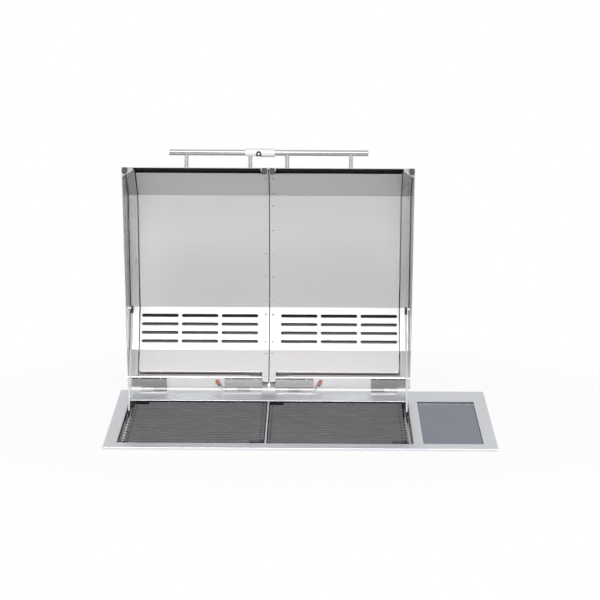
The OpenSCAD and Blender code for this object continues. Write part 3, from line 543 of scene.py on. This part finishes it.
@dataclass(frozen=True)
class Moulded(Finish):
    """Moulded plastic, rubber, foam or enamel with a fine grain."""

    tint: Colour = (0.03, 0.03, 0.03)
    rough: Point = (0.45, 0.6)
    grain_scale: float = 1800.0
    bump: float = 0.2
    contrast: float = 0.12
    shine: float = 0.5

    def colour(self, graph: Graph, coords: Socket) -> Socket:
        """Wire the moulding's clouded tone.

        Args:
            graph: the material being built.
            coords: the piece's coordinates.

        Returns:
            The colour socket.
        """
        return graph.tones(graph.noise(coords, scale=40.0), *around(self.tint, self.contrast))

    def wire(self, graph: Graph) -> Shader:
        """Wire grain and tone.

        Args:
            graph: the material being built.

        Returns:
            The shader node.
        """
        coords = graph.add("TexCoord").outputs["Object"]
        grain = graph.noise(coords, self.grain_scale)
        rough = graph.spread(grain, *self.rough)
        return graph.add("BsdfPrincipled", Base_Color=self.colour(graph, coords), Roughness=rough,
                         Normal=graph.bump(grain, self.bump), Specular_IOR_Level=self.shine)


@dataclass(frozen=True)
class DippedVinyl(Moulded):
    """Dipped vinyl cap with painted shade at its lower end; heights in metres, lid open."""

    # Colour of the painted shade at the cap's lower end.
    shade_tone: Colour = (0.12, 0.11, 0.09)
    band: Point = (0.0195, 0.0215)

    def colour(self, graph: Graph, coords: Socket) -> Socket:
        """Wire the painted shade at the lower end under the dipped colour.

        Args:
            graph: the material being built.
            coords: the piece's coordinates.

        Returns:
            The colour socket.
        """
        dipped = super().colour(graph, coords)
        height = graph.add("SeparateXYZ", Vector=coords).outputs[2]
        # Painted shade: the cap turns dark below the band, standing in for the shadow on its
        # underside.
        return graph.mixed(graph.spread(height, 0.0, 1.0, self.band), (*self.shade_tone, 1.0), dipped)


@dataclass(frozen=True)
class SealRubber(Moulded):
    """Black seal strip and greyer bumpers, proud of the rim; metres, lid open."""

    bumper: Colour = (0.1, 0.1, 0.1)
    square: Point = (0.9455, 0.3256)
    rim: Point = (0.2548, 0.2552)

    def colour(self, graph: Graph, coords: Socket) -> Socket:
        """Wire the greyer tone in front of the rim.

        Args:
            graph: the material being built.
            coords: the piece's coordinates.

        Returns:
            The colour socket.
        """
        black = super().colour(graph, coords)
        axes = graph.add("SeparateXYZ", Vector=coords).outputs
        back, up = (graph.math("MULTIPLY", *pair) for pair in zip((axes[1], axes[2]), self.square))
        depth = graph.math("ADD", back, up)
        return graph.mixed(graph.spread(depth, 0.0, 1.0, self.rim), (*self.bumper, 1.0), black)


@dataclass(frozen=True)
class GalvanisedSheet(Finish):
    """Zinc-coated sheet with its crystal spangle."""

    tint: Colour = (0.6, 0.61, 0.62)

    def wire(self, graph: Graph) -> Shader:
        """Wire the spangle into colour and gloss.

        Args:
            graph: the material being built.

        Returns:
            The shader node.
        """
        coords = graph.add("TexCoord").outputs["Object"]
        spangle = graph.add("TexVoronoi", Vector=coords, Scale=110.0)
        shade = graph.add("SeparateColor", Color=spangle.outputs["Color"]).outputs[0]
        fine = graph.noise(coords, scale=700.0, detail=4.0)
        base = graph.tones(shade, scaled(self.tint, 0.86), scaled(self.tint, 1.06), span=FULL)
        colour = graph.mixed(0.1, base, graph.tones(fine, scaled(self.tint, 0.8), self.tint))
        rough = graph.spread(shade, low=0.34, high=0.5, span=FULL)
        normal = graph.bump(fine, strength=0.08)
        return graph.add("BsdfPrincipled", Base_Color=colour, Metallic=1.0, Roughness=rough,
                         Normal=normal)


@dataclass(frozen=True)
class HeatedTube(Finish):
    """Heater tube with straw and blue heat tints under a thin crust."""

    straw: Colour = (0.2, 0.16, 0.13)
    blue: Colour = (0.14, 0.15, 0.2)
    soot: Colour = (0.05, 0.045, 0.04)
    ash: Colour = (0.25, 0.22, 0.2)

    def wire(self, graph: Graph) -> Shader:
        """Wire the heat tints.

        Args:
            graph: the material being built.

        Returns:
            The shader node.
        """
        coords = graph.add("TexCoord").outputs["Object"]
        bands = graph.noise(coords, scale=12.0)
        crust = graph.noise(coords, scale=900.0, detail=4.0)
        tint = graph.tones(bands, self.straw, self.blue)
        colour = graph.mixed(0.25, tint, graph.tones(crust, self.soot, self.ash))
        rough = graph.spread(crust, low=0.4, high=0.6)
        return graph.add("BsdfPrincipled", Base_Color=colour, Metallic=0.9, Roughness=rough,
                         Normal=graph.bump(crust, strength=0.15))


@dataclass(frozen=True)
class BoardLacquer(Finish):
    """Green solder lacquer over a grid of copper runs."""

    lacquer: tuple[Colour, Colour] = ((0.02, 0.12, 0.06), (0.025, 0.15, 0.075))
    copper: Colour = (0.05, 0.24, 0.12)
    speck: tuple[Colour, Colour] = ((0.01, 0.07, 0.04), (0.04, 0.2, 0.1))

    def wire(self, graph: Graph) -> Shader:
        """Wire the copper runs under the lacquer.

        Args:
            graph: the material being built.

        Returns:
            The shader node.
        """
        coords = graph.add("TexCoord").outputs["Object"]
        first, second = self.lacquer
        runs = graph.add("TexBrick", Vector=coords, Scale=120.0, Mortar_Size=0.06,
                         Color1=(*first, 1.0), Color2=(*second, 1.0), Mortar=(*self.copper, 1.0))
        fine = graph.noise(coords, scale=800.0)
        colour = graph.mixed(0.15, runs.outputs[0], graph.tones(fine, *self.speck))
        rough = graph.spread(fine, low=0.25, high=0.4)
        return graph.add("BsdfPrincipled", Base_Color=colour, Roughness=rough,
                         Normal=graph.bump(runs.outputs[1], strength=0.2))


class Finishes:
    """Every finish on the grill."""

    DECK = BrushedSteel("deck_brushed", (0.675, 0.695, 0.73), (0.28, 0.38), metal=0.85)
    HOUSING = GalvanisedSheet("housing_zinc")
    TUB = Moulded("tub_enamel", (0.012, 0.012, 0.013), (0.22, 0.35),
                  grain_scale=500.0, bump=0.05, contrast=0.2)
    RACK = BrushedSteel("rack_dark", (0.2, 0.2, 0.2), (0.38, 0.5), Grain.NONE,
                        fine=260.0, cloud=0.12, bump=0.12)
    LID = BrushedSteel("lid_brushed", (0.64, 0.635, 0.63), (0.28, 0.38), metal=0.7)
    SHELL = ShellSteel("shell_brushed", (0.61, 0.6, 0.587), (0.28, 0.38), metal=0.7)
    LINER = BrushedSteel("liner_satin", (0.7, 0.682, 0.682), (0.29, 0.32),
                         fine=1200.0, cloud=0.015, bump=0.01, metal=0.2, lines=0.01)
    CHEEK = BrushedSteel("cheek_satin", (0.6, 0.59, 0.585), (0.26, 0.32), Grain.LENGTHWISE,
                         fine=150.0, cloud=0.03, bump=0.02, metal=0.55, lines=0.08)
    HINGE = BrushedSteel("hinge_satin", (0.56, 0.555, 0.55), (0.3, 0.42), Grain.UPRIGHT,
                         fine=1800.0, cloud=0.05, metal=0.7)
    LEAF = LeafSteel("leaf_satin", (0.465, 0.457, 0.45), (0.32, 0.44), Grain.UPRIGHT,
                     fine=1800.0, cloud=0.08, metal=0.6)
    # Painted light: the fixed leaves carry the leaf steel in a lighter tint, to make up for the
    # shade on their forward-facing faces.
    FIXED_LEAF_LIT = BrushedSteel("fixed_leaf_lit", (0.6, 0.593, 0.587), (0.32, 0.44), metal=0.6)
    BAR = PolishedSteel("bar_polished", (0.74, 0.74, 0.75), (0.03, 0.06))
    POST = PolishedSteel("post_satin", (0.8, 0.8, 0.81), (0.3, 0.38))
    ROD = PolishedSteel("rod_bright", (0.82, 0.82, 0.82), (0.3, 0.4))
    PIN = PolishedSteel("pin_turned", (0.62, 0.62, 0.62), (0.2, 0.3))
    PLATE = CoatedCasting("plate_coat")
    GLASS = BackPrintedGlass("glass_backprint")
    PRINT = Moulded("panel_print", (0.21, 0.235, 0.275), (0.3, 0.4),
                    grain_scale=900.0, bump=0.02, contrast=0.05)
    HEATER = HeatedTube("heater_tube")
    BOARD = BoardLacquer("board_lacquer")
    BLACK = Moulded("black_moulding", (0.02, 0.02, 0.02))
    RUBBER = SealRubber("seal_rubber_black", (0.003, 0.003, 0.003), (0.6, 0.75),
                        grain_scale=1200.0, bump=0.3, shine=0.05)
    FOAM = Moulded("seal_foam", (0.05, 0.05, 0.05), (0.8, 0.95),
                   grain_scale=700.0, bump=0.6, contrast=0.2)
    SLEEVE = Moulded("sleeve_pale", (0.72, 0.72, 0.73), (0.3, 0.42),
                     grain_scale=900.0, bump=0.05, contrast=0.02)
    VINYL = DippedVinyl("cap_vinyl", (0.48, 0.148, 0.085), (0.3, 0.45),
                        grain_scale=600.0, bump=0.08, contrast=0.1)


def dress(node: str, finish: Finish, bevel: float = 0.0) -> None:
    """Give a CAD node its finish and soften its edges.

    Args:
        node: the node's name.
        finish: the finish.
        bevel: width of the softened edges in millimetres, or 0 for a sheet with crisp edges.
    """
    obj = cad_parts[node]
    obj.data.materials.clear()
    obj.data.materials.append(finish.material())
    weld = obj.modifiers.new("weld", "WELD")
    weld.merge_threshold = WELD_GAP
    if bevel > 0.0:
        edge = obj.modifiers.new("edges", "BEVEL")
        edge.width = bevel * MM
        edge.segments = BEVEL_STEPS
        edge.limit_method = "ANGLE"
        edge.angle_limit = EDGE_ANGLE
        edge.use_clamp_overlap = True
        edge.harden_normals = True
    else:
        fold = obj.modifiers.new("folds", "EDGE_SPLIT")
        fold.split_angle = FOLD_ANGLE
    even = obj.modifiers.new("normals", "WEIGHTED_NORMAL")
    even.keep_sharp = True
    even.weight = LARGE_FACE_WEIGHT
    obj.data.shade_smooth()
    LOG.info("node %s: %s", node, finish.name)


def shown(name: str, bm: Mesh, material: bpy.types.Material) -> bpy.types.Object:
    """Turn a bmesh into an object of the scene.

    Args:
        name: the object's name.
        bm: its mesh, freed here.
        material: its material.

    Returns:
        The new object.
    """
    mesh = bpy.data.meshes.new(name)
    bm.to_mesh(mesh)
    bm.free()
    mesh.materials.append(material)
    obj = bpy.data.objects.new(name, mesh)
    bpy.context.scene.collection.objects.link(obj)
    return obj


def piece(name: str, bm: Mesh, body: str, finish: Finish) -> None:
    """Turn a bmesh into a piece that rides on a body.

    Args:
        name: the piece's name.
        bm: its mesh, freed here.
        body: the body that it rides on.
        finish: its finish.
    """
    bmesh.ops.recalc_face_normals(bm, faces=bm.faces)
    obj = shown(name, bm, finish.material())
    obj.data.shade_smooth()
    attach(obj, body)
    LOG.info("piece %s: %d faces on %s", name, len(obj.data.polygons), body)


def loft(bm: Mesh, place: Matrix, rings: list[list[Spot]]) -> None:
    """Add a closed solid through rings that have the same number of points.

    Args:
        bm: the mesh that takes it.
        place: the solid's frame in metres.
        rings: the rings from end to end, in millimetres.
    """
    made = [[bm.verts.new(place @ (Vector(p) * MM)) for p in ring] for ring in rings]
    bm.faces.new(made[0])
    for low, high in zip(made, made[1:]):
        for i in range(len(low)):
            j = (i + 1) % len(low)
            bm.faces.new((low[i], low[j], high[j], high[i]))
    bm.faces.new(list(reversed(made[-1])))


def circle(radius: float, height: float, count: int, start_deg: float = 0.0) -> list[Spot]:
    """Points of a level circle round the Z axis.

    Args:
        radius: its radius.
        height: its height.
        count: number of points.
        start_deg: direction of the first point.

    Returns:
        The points in order.
    """
    turn = [math.radians(start_deg + 360 * i / count) for i in range(count)]
    return [(radius * math.cos(a), radius * math.sin(a), height) for a in turn]


def rectangle(across: Point, along: Point) -> list[Point]:
    """Corners of a rectangle.

    Args:
        across: its two ends in the first direction.
        along: its two ends in the second direction.

    Returns:
        The corners in order.
    """
    (x0, x1), (y0, y1) = across, along
    return [(x0, y0), (x1, y0), (x1, y1), (x0, y1)]


@dataclass(frozen=True)
class ScrewHead:
    """Pan head with a cross recess, in millimetres; dome rows are shares of radius and height."""

    radius: float = 2.4
    height: float = 1.3
    arm: float = 1.35
    slot: float = 0.4
    depth: float = 0.8
    taper: float = 0.6
    start_deg: float = -15.0
    dome: tuple[Point, ...] = ((0.66, 0.97), (0.88, 0.75), (1.0, 0.4), (1.0, -0.15))

    def outline(self) -> list[Point]:
        """The recess's outline, with a point in the middle of each edge.

        Returns:
            24 points round the axis.
        """
        quarter = [(self.arm, -self.slot), (self.arm, self.slot), (self.slot, self.slot)]
        turned = []
        for k in range(4):
            c, s = (1, 0, -1, 0)[k], (0, 1, 0, -1)[k]
            turned += [(c * x - s * y, s * x + c * y) for x, y in quarter]
        doubled = []
        for (x0, y0), (x1, y1) in zip(turned, turned[1:] + turned[:1]):
            doubled += [(x0, y0), ((x0 + x1) / 2, (y0 + y1) / 2)]
        return doubled

    def add(self, bm: Mesh, place: Matrix) -> None:
        """Add one screw head.

        Args:
            bm: the mesh that takes it.
            place: its frame in metres; Z points out of the sheet.
        """
        cross = self.outline()
        rings = [[(x * self.taper, y * self.taper, self.height - self.depth) for x, y in cross],
                 [(x, y, self.height) for x, y in cross]]
        for r, h in self.dome:
            rings.append(circle(self.radius * r, self.height * h, len(cross), self.start_deg))
        loft(bm, place, rings)


@dataclass(frozen=True)
class Rivet:
    """Low domed rivet, in millimetres; dome rows are shares of radius and height."""

    radius: float = 1.8
    height: float = 0.7
    count: int = 20
    dome: tuple[Point, ...] = ((1.0, -0.3), (1.0, 0.25), (0.86, 0.62), (0.6, 0.88), (0.3, 0.98))

    def add(self, bm: Mesh, place: Matrix) -> None:
        """Add one rivet.

        Args:
            bm: the mesh that takes it.
            place: its frame in metres; Z points out of the sheet.
        """
        rings = [circle(self.radius * r, self.height * h, self.count) for r, h in self.dome]
        loft(bm, place, rings)


@dataclass(frozen=True)
class LidProfile:
    """The lid's folds, in millimetres before and above the hinge; strips are length and slope."""

    centre_x: float = LIDS_CENTRE_MM
    hinge_y: float = 262.25
    hinge_z: float = 9.3
    open_deg: float = 71.0
    start: Point = (30.0, 19.0)
    lower: Point = (50.0, 53.0)
    vent: Point = (92.0, 44.0)
    roof_ang: float = 5.0
    brow: Point = (101.5, -38.0)
    face_ang: float = -62.0
    front_edge: Point = (508.0, 4.4)
    brow_gap: float = 9.5
    rim_h: float = 4.4

    def folds(self) -> list[tuple[Vector, Vector, float]]:
        """The liner's strips from the hinge to the front.

        Returns:
            Start, end and slope in degrees of each strip.
        """
        def along(deg: float) -> Vector:
            """Unit vector at a slope."""
            return Vector((math.cos(math.radians(deg)), math.sin(math.radians(deg))))

        def across(deg: float) -> Vector:
            """Unit vector square to a slope."""
            return Vector((-math.sin(math.radians(deg)), math.cos(math.radians(deg))))

        p0 = Vector(self.start)
        p1 = p0 + self.lower[0] * along(self.lower[1])
        p2 = p1 + self.vent[0] * along(self.vent[1])
        n = across(self.face_ang)
        reach = p2 + self.brow[0] * along(self.brow[1]) - Vector(self.front_edge)
        roof = (-self.brow_gap - n.dot(reach)) / n.dot(along(self.roof_ang))
        p3 = p2 + roof * along(self.roof_ang)
        p4 = p3 + self.brow[0] * along(self.brow[1])
        slopes = (self.lower[1], self.vent[1], self.roof_ang, self.brow[1])
        return list(zip((p0, p1, p2, p3), (p1, p2, p3, p4), slopes))

    def place(self, side: Side, u: float, point: Vector, deg: float) -> Matrix:
        """Frame on the lid's inner face, in the open rest pose.

        Args:
            side: which lid.
            u: distance from the lids' centre line.
            point: point on the profile.
            deg: slope of the face there.

        Returns:
            The frame in metres; Z points out of the face.
        """
        turn = math.radians(self.open_deg)
        cos, sin = math.cos(turn), math.sin(turn)
        a = math.radians(deg) + turn
        out = Vector((0.0, -math.sin(a), -math.cos(a)))
        x_dir = Vector((1.0, 0.0, 0.0))
        y_dir = out.cross(x_dir)
        spot = Vector((self.centre_x + side.value * u,
                       self.hinge_y - point[0] * cos + point[1] * sin,
                       self.hinge_z + point[0] * sin + point[1] * cos))
        frame_at = Matrix((x_dir, y_dir, out)).transposed().to_4x4()
        frame_at.translation = spot * MM
        return frame_at


@dataclass
class Lid:
    """One hood lid with its liner screws, hinge rivets and dark strips of painted shade, in
    millimetres.
    """

    side: Side
    profile: LidProfile = field(default_factory=LidProfile)
    screw: ScrewHead = field(default_factory=ScrewHead)
    screw_u: float = 7.2
    screw_rows: tuple[tuple[float, ...], ...] = (
        (-0.2, 0.84), (0.19, 0.83), (0.073, 0.28, 0.487, 0.694, 0.91), (0.09, 0.78))
    rivet: Rivet = field(default_factory=Rivet)
    rivet_us: tuple[float, ...] = (24.0, 52.7, 81.0)
    rivet_at: float = 14.0
    leaf_t: float = 1.5
    leaf_end: float = 22.0
    # Distance of the cheek's strips of painted shade from the lids' centre line.
    cheek_shade_u: float = 289.6
    shade_strip_w: float = 1.8
    shade_strip_h: float = 0.3
    # Runs of painted shadow between the weld tacks, from the lids' centre line.
    leaf_shade_runs: tuple[Point, ...] = (
        (14.0, 26.0), (28.5, 76.0), (79.0, 91.5), (211.0, 223.0), (225.5, 266.0), (269.0, 283.5))

    def build(self) -> None:
        """Add the screws along the centre edge, the inner hinge's rivets and the dark strips of
        painted shade at the leaves' upper edges and along the cheek folds.
        """
        body = f"{self.side.word}_lid"
        bm = bmesh.new()
        for (start, end, deg), row in zip(self.profile.folds(), self.screw_rows):
            for share in row:
                spot = start.lerp(end, share)
                self.screw.add(bm, self.profile.place(self.side, self.screw_u, spot, deg))
        piece(f"{self.side.word}_liner_screws", bm, body, Finishes.PIN)
        bm = bmesh.new()
        for u in self.rivet_us:
            spot = Vector((self.rivet_at, self.profile.rim_h - self.leaf_t))
            self.rivet.add(bm, self.profile.place(self.side, u, spot, 0.0))
        piece(f"{self.side.word}_hinge_rivets", bm, body, Finishes.HINGE)
        # Black strips of painted shadow in the gap under each leaf's upper edge.
        bm = bmesh.new()
        for u0, u1 in self.leaf_shade_runs:
            self.add_leaf_shade(bm, u0, u1)
        piece(f"{self.side.word}_leaf_seams", bm, body, Finishes.BLACK)
        # Black strips of painted shade in the folds of the outer cheek.
        bm = bmesh.new()
        for start, end, deg in self.profile.folds()[1:]:
            self.add_cheek_shade(bm, start, end, deg)
        piece(f"{self.side.word}_cheek_seams", bm, body, Finishes.BLACK)

    def add_cheek_shade(self, bm: Mesh, start: Vector, end: Vector, deg: float) -> None:
        """Add the dark strip of painted shade along one fold of the outer cheek's strip.

        Args:
            bm: the mesh that takes it.
            start: lower end of the fold.
            end: upper end of the fold.
            deg: the fold's slope.
        """
        at = self.profile.place(self.side, self.cheek_shade_u, (start + end) / 2, deg)
        size = (self.shade_strip_w * MM, (end - start).length * MM, self.shade_strip_h * MM, 1.0)
        bmesh.ops.create_cube(bm, size=1.0, matrix=at @ Matrix.Diagonal(size))

    def add_leaf_shade(self, bm: Mesh, u0: float, u1: float) -> None:
        """Add the dark strip of painted shadow between two weld tacks at a leaf's upper edge.

        Args:
            bm: the mesh that takes it.
            u0: near end from the lids' centre line.
            u1: far end.
        """
        spot = Vector((self.leaf_end + self.shade_strip_w / 2, self.profile.rim_h))
        at = self.profile.place(self.side, (u0 + u1) / 2, spot, 0.0)
        size = ((u1 - u0) * MM, self.shade_strip_w * MM, self.shade_strip_h * MM, 1.0)
        bmesh.ops.create_cube(bm, size=1.0, matrix=at @ Matrix.Diagonal(size))

    def dress(self) -> None:
        """Give the lid's sheets their finishes."""
        word = self.side.word
        dress(f"{word}_lid_shell", Finishes.SHELL)
        dress(f"{word}_lid_outer_cheek", Finishes.CHEEK)
        dress(f"{word}_lid_inner_cheek", Finishes.LID)
        dress(f"{word}_lid_liner", Finishes.LINER)
        dress(f"{word}_lid_vent_panel", Finishes.LINER)
        dress(f"{word}_lid_seals", Finishes.RUBBER, 0.3)
        dress(f"{word}_lid_hinge_leaves", Finishes.LEAF, 0.25)


@dataclass
class Handles:
    """The two bars with their posts, sleeve and catch."""

    def dress(self) -> None:
        """Give the handles their finishes."""
        for side in Side:
            dress(f"{side.word}_handle_bar", Finishes.BAR, 0.3)
            dress(f"{side.word}_handle_posts", Finishes.POST, 0.3)
        dress("handle_sleeve", Finishes.SLEEVE, 0.3)
        dress("sleeve_catch", Finishes.BLACK, 0.15)


@dataclass
class Hinges:
    """Fixed leaves, pins and the release levers."""

    def dress(self) -> None:
        """Give the hinges their finishes."""
        for side in Side:
            dress(f"{side.word}_hinge_leaves", Finishes.FIXED_LEAF_LIT, 0.25)
            dress(f"{side.word}_hinge_pin", Finishes.PIN)
            dress(f"{side.word}_release_pin", Finishes.PIN)
            dress(f"{side.word}_release_cap", Finishes.VINYL)


@dataclass
class Stays:
    """Stay rods with their fittings, brackets and rails."""

    def dress(self) -> None:
        """Give the stays their finishes."""
        for side in Side:
            dress(f"{side.word}_stay_rod", Finishes.ROD)
            dress(f"{side.word}_stay_fittings", Finishes.BLACK, 0.2)
            dress(f"{side.word}_stay_bracket", Finishes.HINGE, 0.2)
            dress(f"{side.word}_stay_rail", Finishes.PIN, 0.15)


@dataclass
class Deck:
    """Deck plate, seal, housing and clamps."""

    def dress(self) -> None:
        """Give the deck and housing their finishes."""
        dress("top_plate", Finishes.DECK)
        dress("worktop_seal", Finishes.FOAM, 0.3)
        dress("outer_housing", Finishes.HOUSING, 0.4)
        dress("housing_left_end", Finishes.HOUSING)
        dress("housing_right_end", Finishes.HOUSING)
        dress("worktop_clamps", Finishes.HINGE, 0.3)


@dataclass
class Well:
    """Tub, trays, heaters and the ribbed plates."""

    def dress(self) -> None:
        """Give the well's pieces their finishes."""
        dress("well_tub", Finishes.TUB, 0.3)
        dress("well_divider", Finishes.DECK, 0.3)
        dress("plate_rests", Finishes.RACK, 0.2)
        dress("element_bars", Finishes.RACK, 0.2)
        for side in Side:
            dress(f"{side.word}_drip_tray", Finishes.TUB, 0.3)
            dress(f"{side.word}_heating_element", Finishes.HEATER)
            dress(f"{side.word}_grill_plate", Finishes.PLATE, 0.5)


@dataclass
class TouchPanel:
    """Glass with its printed ring and marks, and the electronics under it; in millimetres."""

    ring_at: Point = (288.0, -13.0)
    ring_r: float = 33.0
    ring_count: int = 96
    line: float = 0.8
    marks: tuple[Point, ...] = ((-11.0, -3.5), (2.5, 10.0))
    lift: float = 0.05

    def build(self) -> None:
        """Print the ring and the two touch marks on the glass."""
        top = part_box("control_glass")[1].z
        bm = bmesh.new()
        rings = (circle(r, 0.0, self.ring_count) for r in (self.ring_r - self.line, self.ring_r))
        inner, outer = ([bm.verts.new(self.spot(x, y, top)) for x, y, _ in ring] for ring in rings)
        for i in range(self.ring_count):
            j = (i + 1) % self.ring_count
            bm.faces.new((inner[i], outer[i], outer[j], inner[j]))
        for ends in self.marks:
            corners = rectangle(ends, (-self.line, self.line))
            bm.faces.new([bm.verts.new(self.spot(x, y, top)) for x, y in corners])
        made = bmesh.ops.extrude_face_region(bm, geom=list(bm.faces))["geom"]
        for vert in (v for v in made if isinstance(v, bmesh.types.BMVert)):
            vert.co.z += self.lift * MM
        piece("panel_print", bm, "base", Finishes.PRINT)

    def spot(self, x: float, y: float, top: float) -> Vector:
        """Point on the glass.

        Args:
            x: offset to the right of the ring's centre.
            y: offset to the rear of it.
            top: height of the glass in metres.

        Returns:
            The point in metres.
        """
        return Vector(((self.ring_at[0] + x) * MM, (self.ring_at[1] + y) * MM, top))

    def dress(self) -> None:
        """Give the panel and the electronics their finishes."""
        dress("control_glass", Finishes.GLASS, 0.3)
        dress("glass_frame", Finishes.BLACK, 0.3)
        dress("control_board", Finishes.BOARD, 0.1)
        dress("power_board", Finishes.BOARD, 0.2)
        dress("heat_shield", Finishes.HOUSING, 0.2)
        dress("terminal_block", Finishes.BLACK, 0.3)
        dress("cable_gland", Finishes.BLACK, 0.3)


@dataclass(frozen=True)
class Softbox:
    """One area light aimed at a point; metres and watts."""

    name: str
    at: Spot
    aim: Spot
    size: Point
    power: float

    def build(self) -> None:
        """Hang the light."""
        light = bpy.data.lights.new(self.name, "AREA")
        light.shape = "RECTANGLE"
        light.size, light.size_y = self.size
        light.energy = self.power
        lamp = bpy.data.objects.new(self.name, light)
        lamp.location = self.at
        ahead = Vector(self.aim) - Vector(self.at)
        lamp.rotation_euler = ahead.to_track_quat("-Z", "Y").to_euler()
        bpy.context.scene.collection.objects.link(lamp)


@dataclass
class Studio:
    """Camera, lights, worktop and pale surround; metres where no other unit is named."""

    eye: Spot = (0.027, -5.81775, 1.241)
    yaw_deg: float = -0.30
    pitch_deg: float = 9.74
    roll_deg: float = 0.25
    lens_mm: float = 180.0
    sensor_mm: float = 36.0
    sight: float = 100.0
    far: float = 30.0
    cut_x: float = 0.359
    cut_y: Point = (-0.25475, 0.23475)
    worktop: Point = (0.69, 0.71)
    near_white: float = 0.93
    fade: Point = (0.55, 1.0)
    flag_gap: float = 0.25
    flag_deg: Point = (-3.0, 30.0)
    flag_x: float = 0.6
    flag_tone: float = 0.03
    lit: float = 0.6
    mirrored: float = 0.85
    overhead: float = 0.5
    dimming: Point = (0.5, 0.9)
    lamps: tuple[Softbox, ...] = (
        Softbox("key", (-0.1, -1.95, 1.9), (-0.066, 0.25, 0.18), (1.6, 0.5), 18.0),
        Softbox("fill", (0.0, -3.0, 1.35), (0.0, 0.2, 0.25), (3.0, 1.0), 64.0),
        Softbox("top", (0.0, -0.2, 2.6), (0.0, 0.0, 0.0), (2.4, 1.8), 4.0))

    def camera(self) -> None:
        """Place the camera."""
        yaw, pitch, roll = map(math.radians, (self.yaw_deg, self.pitch_deg, self.roll_deg))
        level = math.cos(pitch)
        ahead = Vector((math.sin(yaw) * level, math.cos(yaw) * level, -math.sin(pitch)))
        right = Vector((math.cos(yaw), -math.sin(yaw), 0.0))
        up = right.cross(ahead)
        cos, sin = math.cos(roll), math.sin(roll)
        data = bpy.data.cameras.new("camera")
        data.lens, data.sensor_width = self.lens_mm, self.sensor_mm
        data.sensor_fit = "HORIZONTAL"
        data.clip_end = self.sight
        eye = bpy.data.objects.new("camera", data)
        axes = (right * cos + up * sin, up * cos - right * sin, -ahead)
        turned = Matrix(axes).transposed().to_4x4()
        turned.translation = Vector(self.eye)
        eye.matrix_world = turned
        bpy.context.scene.collection.objects.link(eye)
        bpy.context.scene.camera = eye

    def seen(self, graph: Graph) -> Socket:
        """Factor that is 1 for camera, mirror and see-through rays.

        Args:
            graph: the material being built.

        Returns:
            The factor's socket.
        """
        path = graph.add("LightPath").outputs
        eye = graph.math("MAXIMUM", path["Is Camera Ray"], path["Is Glossy Ray"])
        return graph.math("MAXIMUM", eye, path["Is Transmission Ray"])

    def floor(self) -> None:
        """Lay a white worktop with the cut-out for the housing."""
        bm = bmesh.new()
        edges = rectangle((-self.far, self.far), (-self.far, self.far))
        cut = rectangle((-self.cut_x, self.cut_x), self.cut_y)
        outer, inner = ([bm.verts.new((x, y, 0.0)) for x, y in ring] for ring in (edges, cut))
        for i in range(len(outer)):
            j = (i + 1) % len(outer)
            bm.faces.new((outer[i], outer[j], inner[j], inner[i]))
        graph = Graph(bpy.data.materials.new("worktop_white"))
        coords = graph.add("TexCoord").outputs["Object"]
        dark, light = (scaled(WHITE, tone) for tone in self.worktop)
        tone = graph.tones(graph.noise(coords, scale=3.0), dark, light)
        matt = graph.add("BsdfDiffuse", Color=tone)
        glow = graph.add("Emission", Color=(*WHITE, 1.0), Strength=1.0)
        away = graph.add("VectorMath", operation="LENGTH", Vector=coords).outputs["Value"]
        white = graph.blend(graph.spread(away, self.near_white, 1.0, self.fade), matt, glow)
        top = shown("worktop", bm, graph.close(graph.blend(self.seen(graph), matt, white)))

    def flag(self) -> None:
        """Hang a dark card before the bars, met by mirror rays only, for the streak on them."""
        bm = bmesh.new()
        middle = sum(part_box("left_handle_bar"), Vector()) / 2
        y = middle.y - self.flag_gap
        low, high = (self.flag_gap * math.tan(math.radians(deg)) for deg in self.flag_deg)
        corners = rectangle((-self.flag_x, self.flag_x), (middle.z + low, middle.z + high))
        bm.faces.new([bm.verts.new((x, y, z)) for x, z in corners])
        graph = Graph(bpy.data.materials.new("flag_dark"))
        tone = (*scaled(WHITE, self.flag_tone), 1.0)
        card = shown("flag", bm, graph.close(graph.add("Emission", Color=tone, Strength=1.0)))
        card.visible_camera = card.visible_diffuse = card.visible_shadow = False

    def surround(self) -> None:
        """Make the surround white to the eye, a little softer in mirrors and as a light."""
        graph = Graph(bpy.data.worlds.new("surround"), "OutputWorld")
        path = graph.add("LightPath").outputs
        last = self.glow(graph, self.lit, self.overhead)
        shares = (("Is Glossy Ray", self.mirrored, self.overhead),
                  ("Is Transmission Ray", 1.0, 1.0), ("Is Camera Ray", 1.0, 1.0))
        for ray, level, overhead in shares:
            last = graph.blend(path[ray], last, self.glow(graph, level, overhead))
        bpy.context.scene.world = graph.close(last)

    def glow(self, graph: Graph, level: float, overhead: float) -> Shader:
        """Add a white surround that is dimmer overhead.

        Args:
            graph: the world's nodes.
            level: its brightness at the horizon, where 1 is white.
            overhead: the share of that brightness at the top.

        Returns:
            The background node.
        """
        ahead = graph.add("TexCoord").outputs["Generated"]
        height = graph.add("SeparateXYZ", Vector=ahead).outputs[2]
        dim = graph.spread(height, level, level * overhead, self.dimming)
        return graph.add("Background", Color=(*WHITE, 1.0), Strength=dim)

    def build(self) -> None:
        """Set up the whole studio."""
        self.camera()
        self.floor()
        self.flag()
        self.surround()
        for lamp in self.lamps:
            lamp.build()
        bpy.context.scene.view_settings.view_transform = "Standard"


def main() -> None:
    """Build and dress every sub-assembly."""
    logging.basicConfig(level=logging.INFO, format="%(name)s: %(message)s")
    Studio().build()
    Deck().dress()
    Well().dress()
    panel = TouchPanel()
    panel.build()
    panel.dress()
    for side in Side:
        lid = Lid(side)
        lid.build()
        lid.dress()
    Hinges().dress()
    Handles().dress()
    Stays().dress()
    LOG.info("boxes written")


if __name__ == "__main__":
    main()
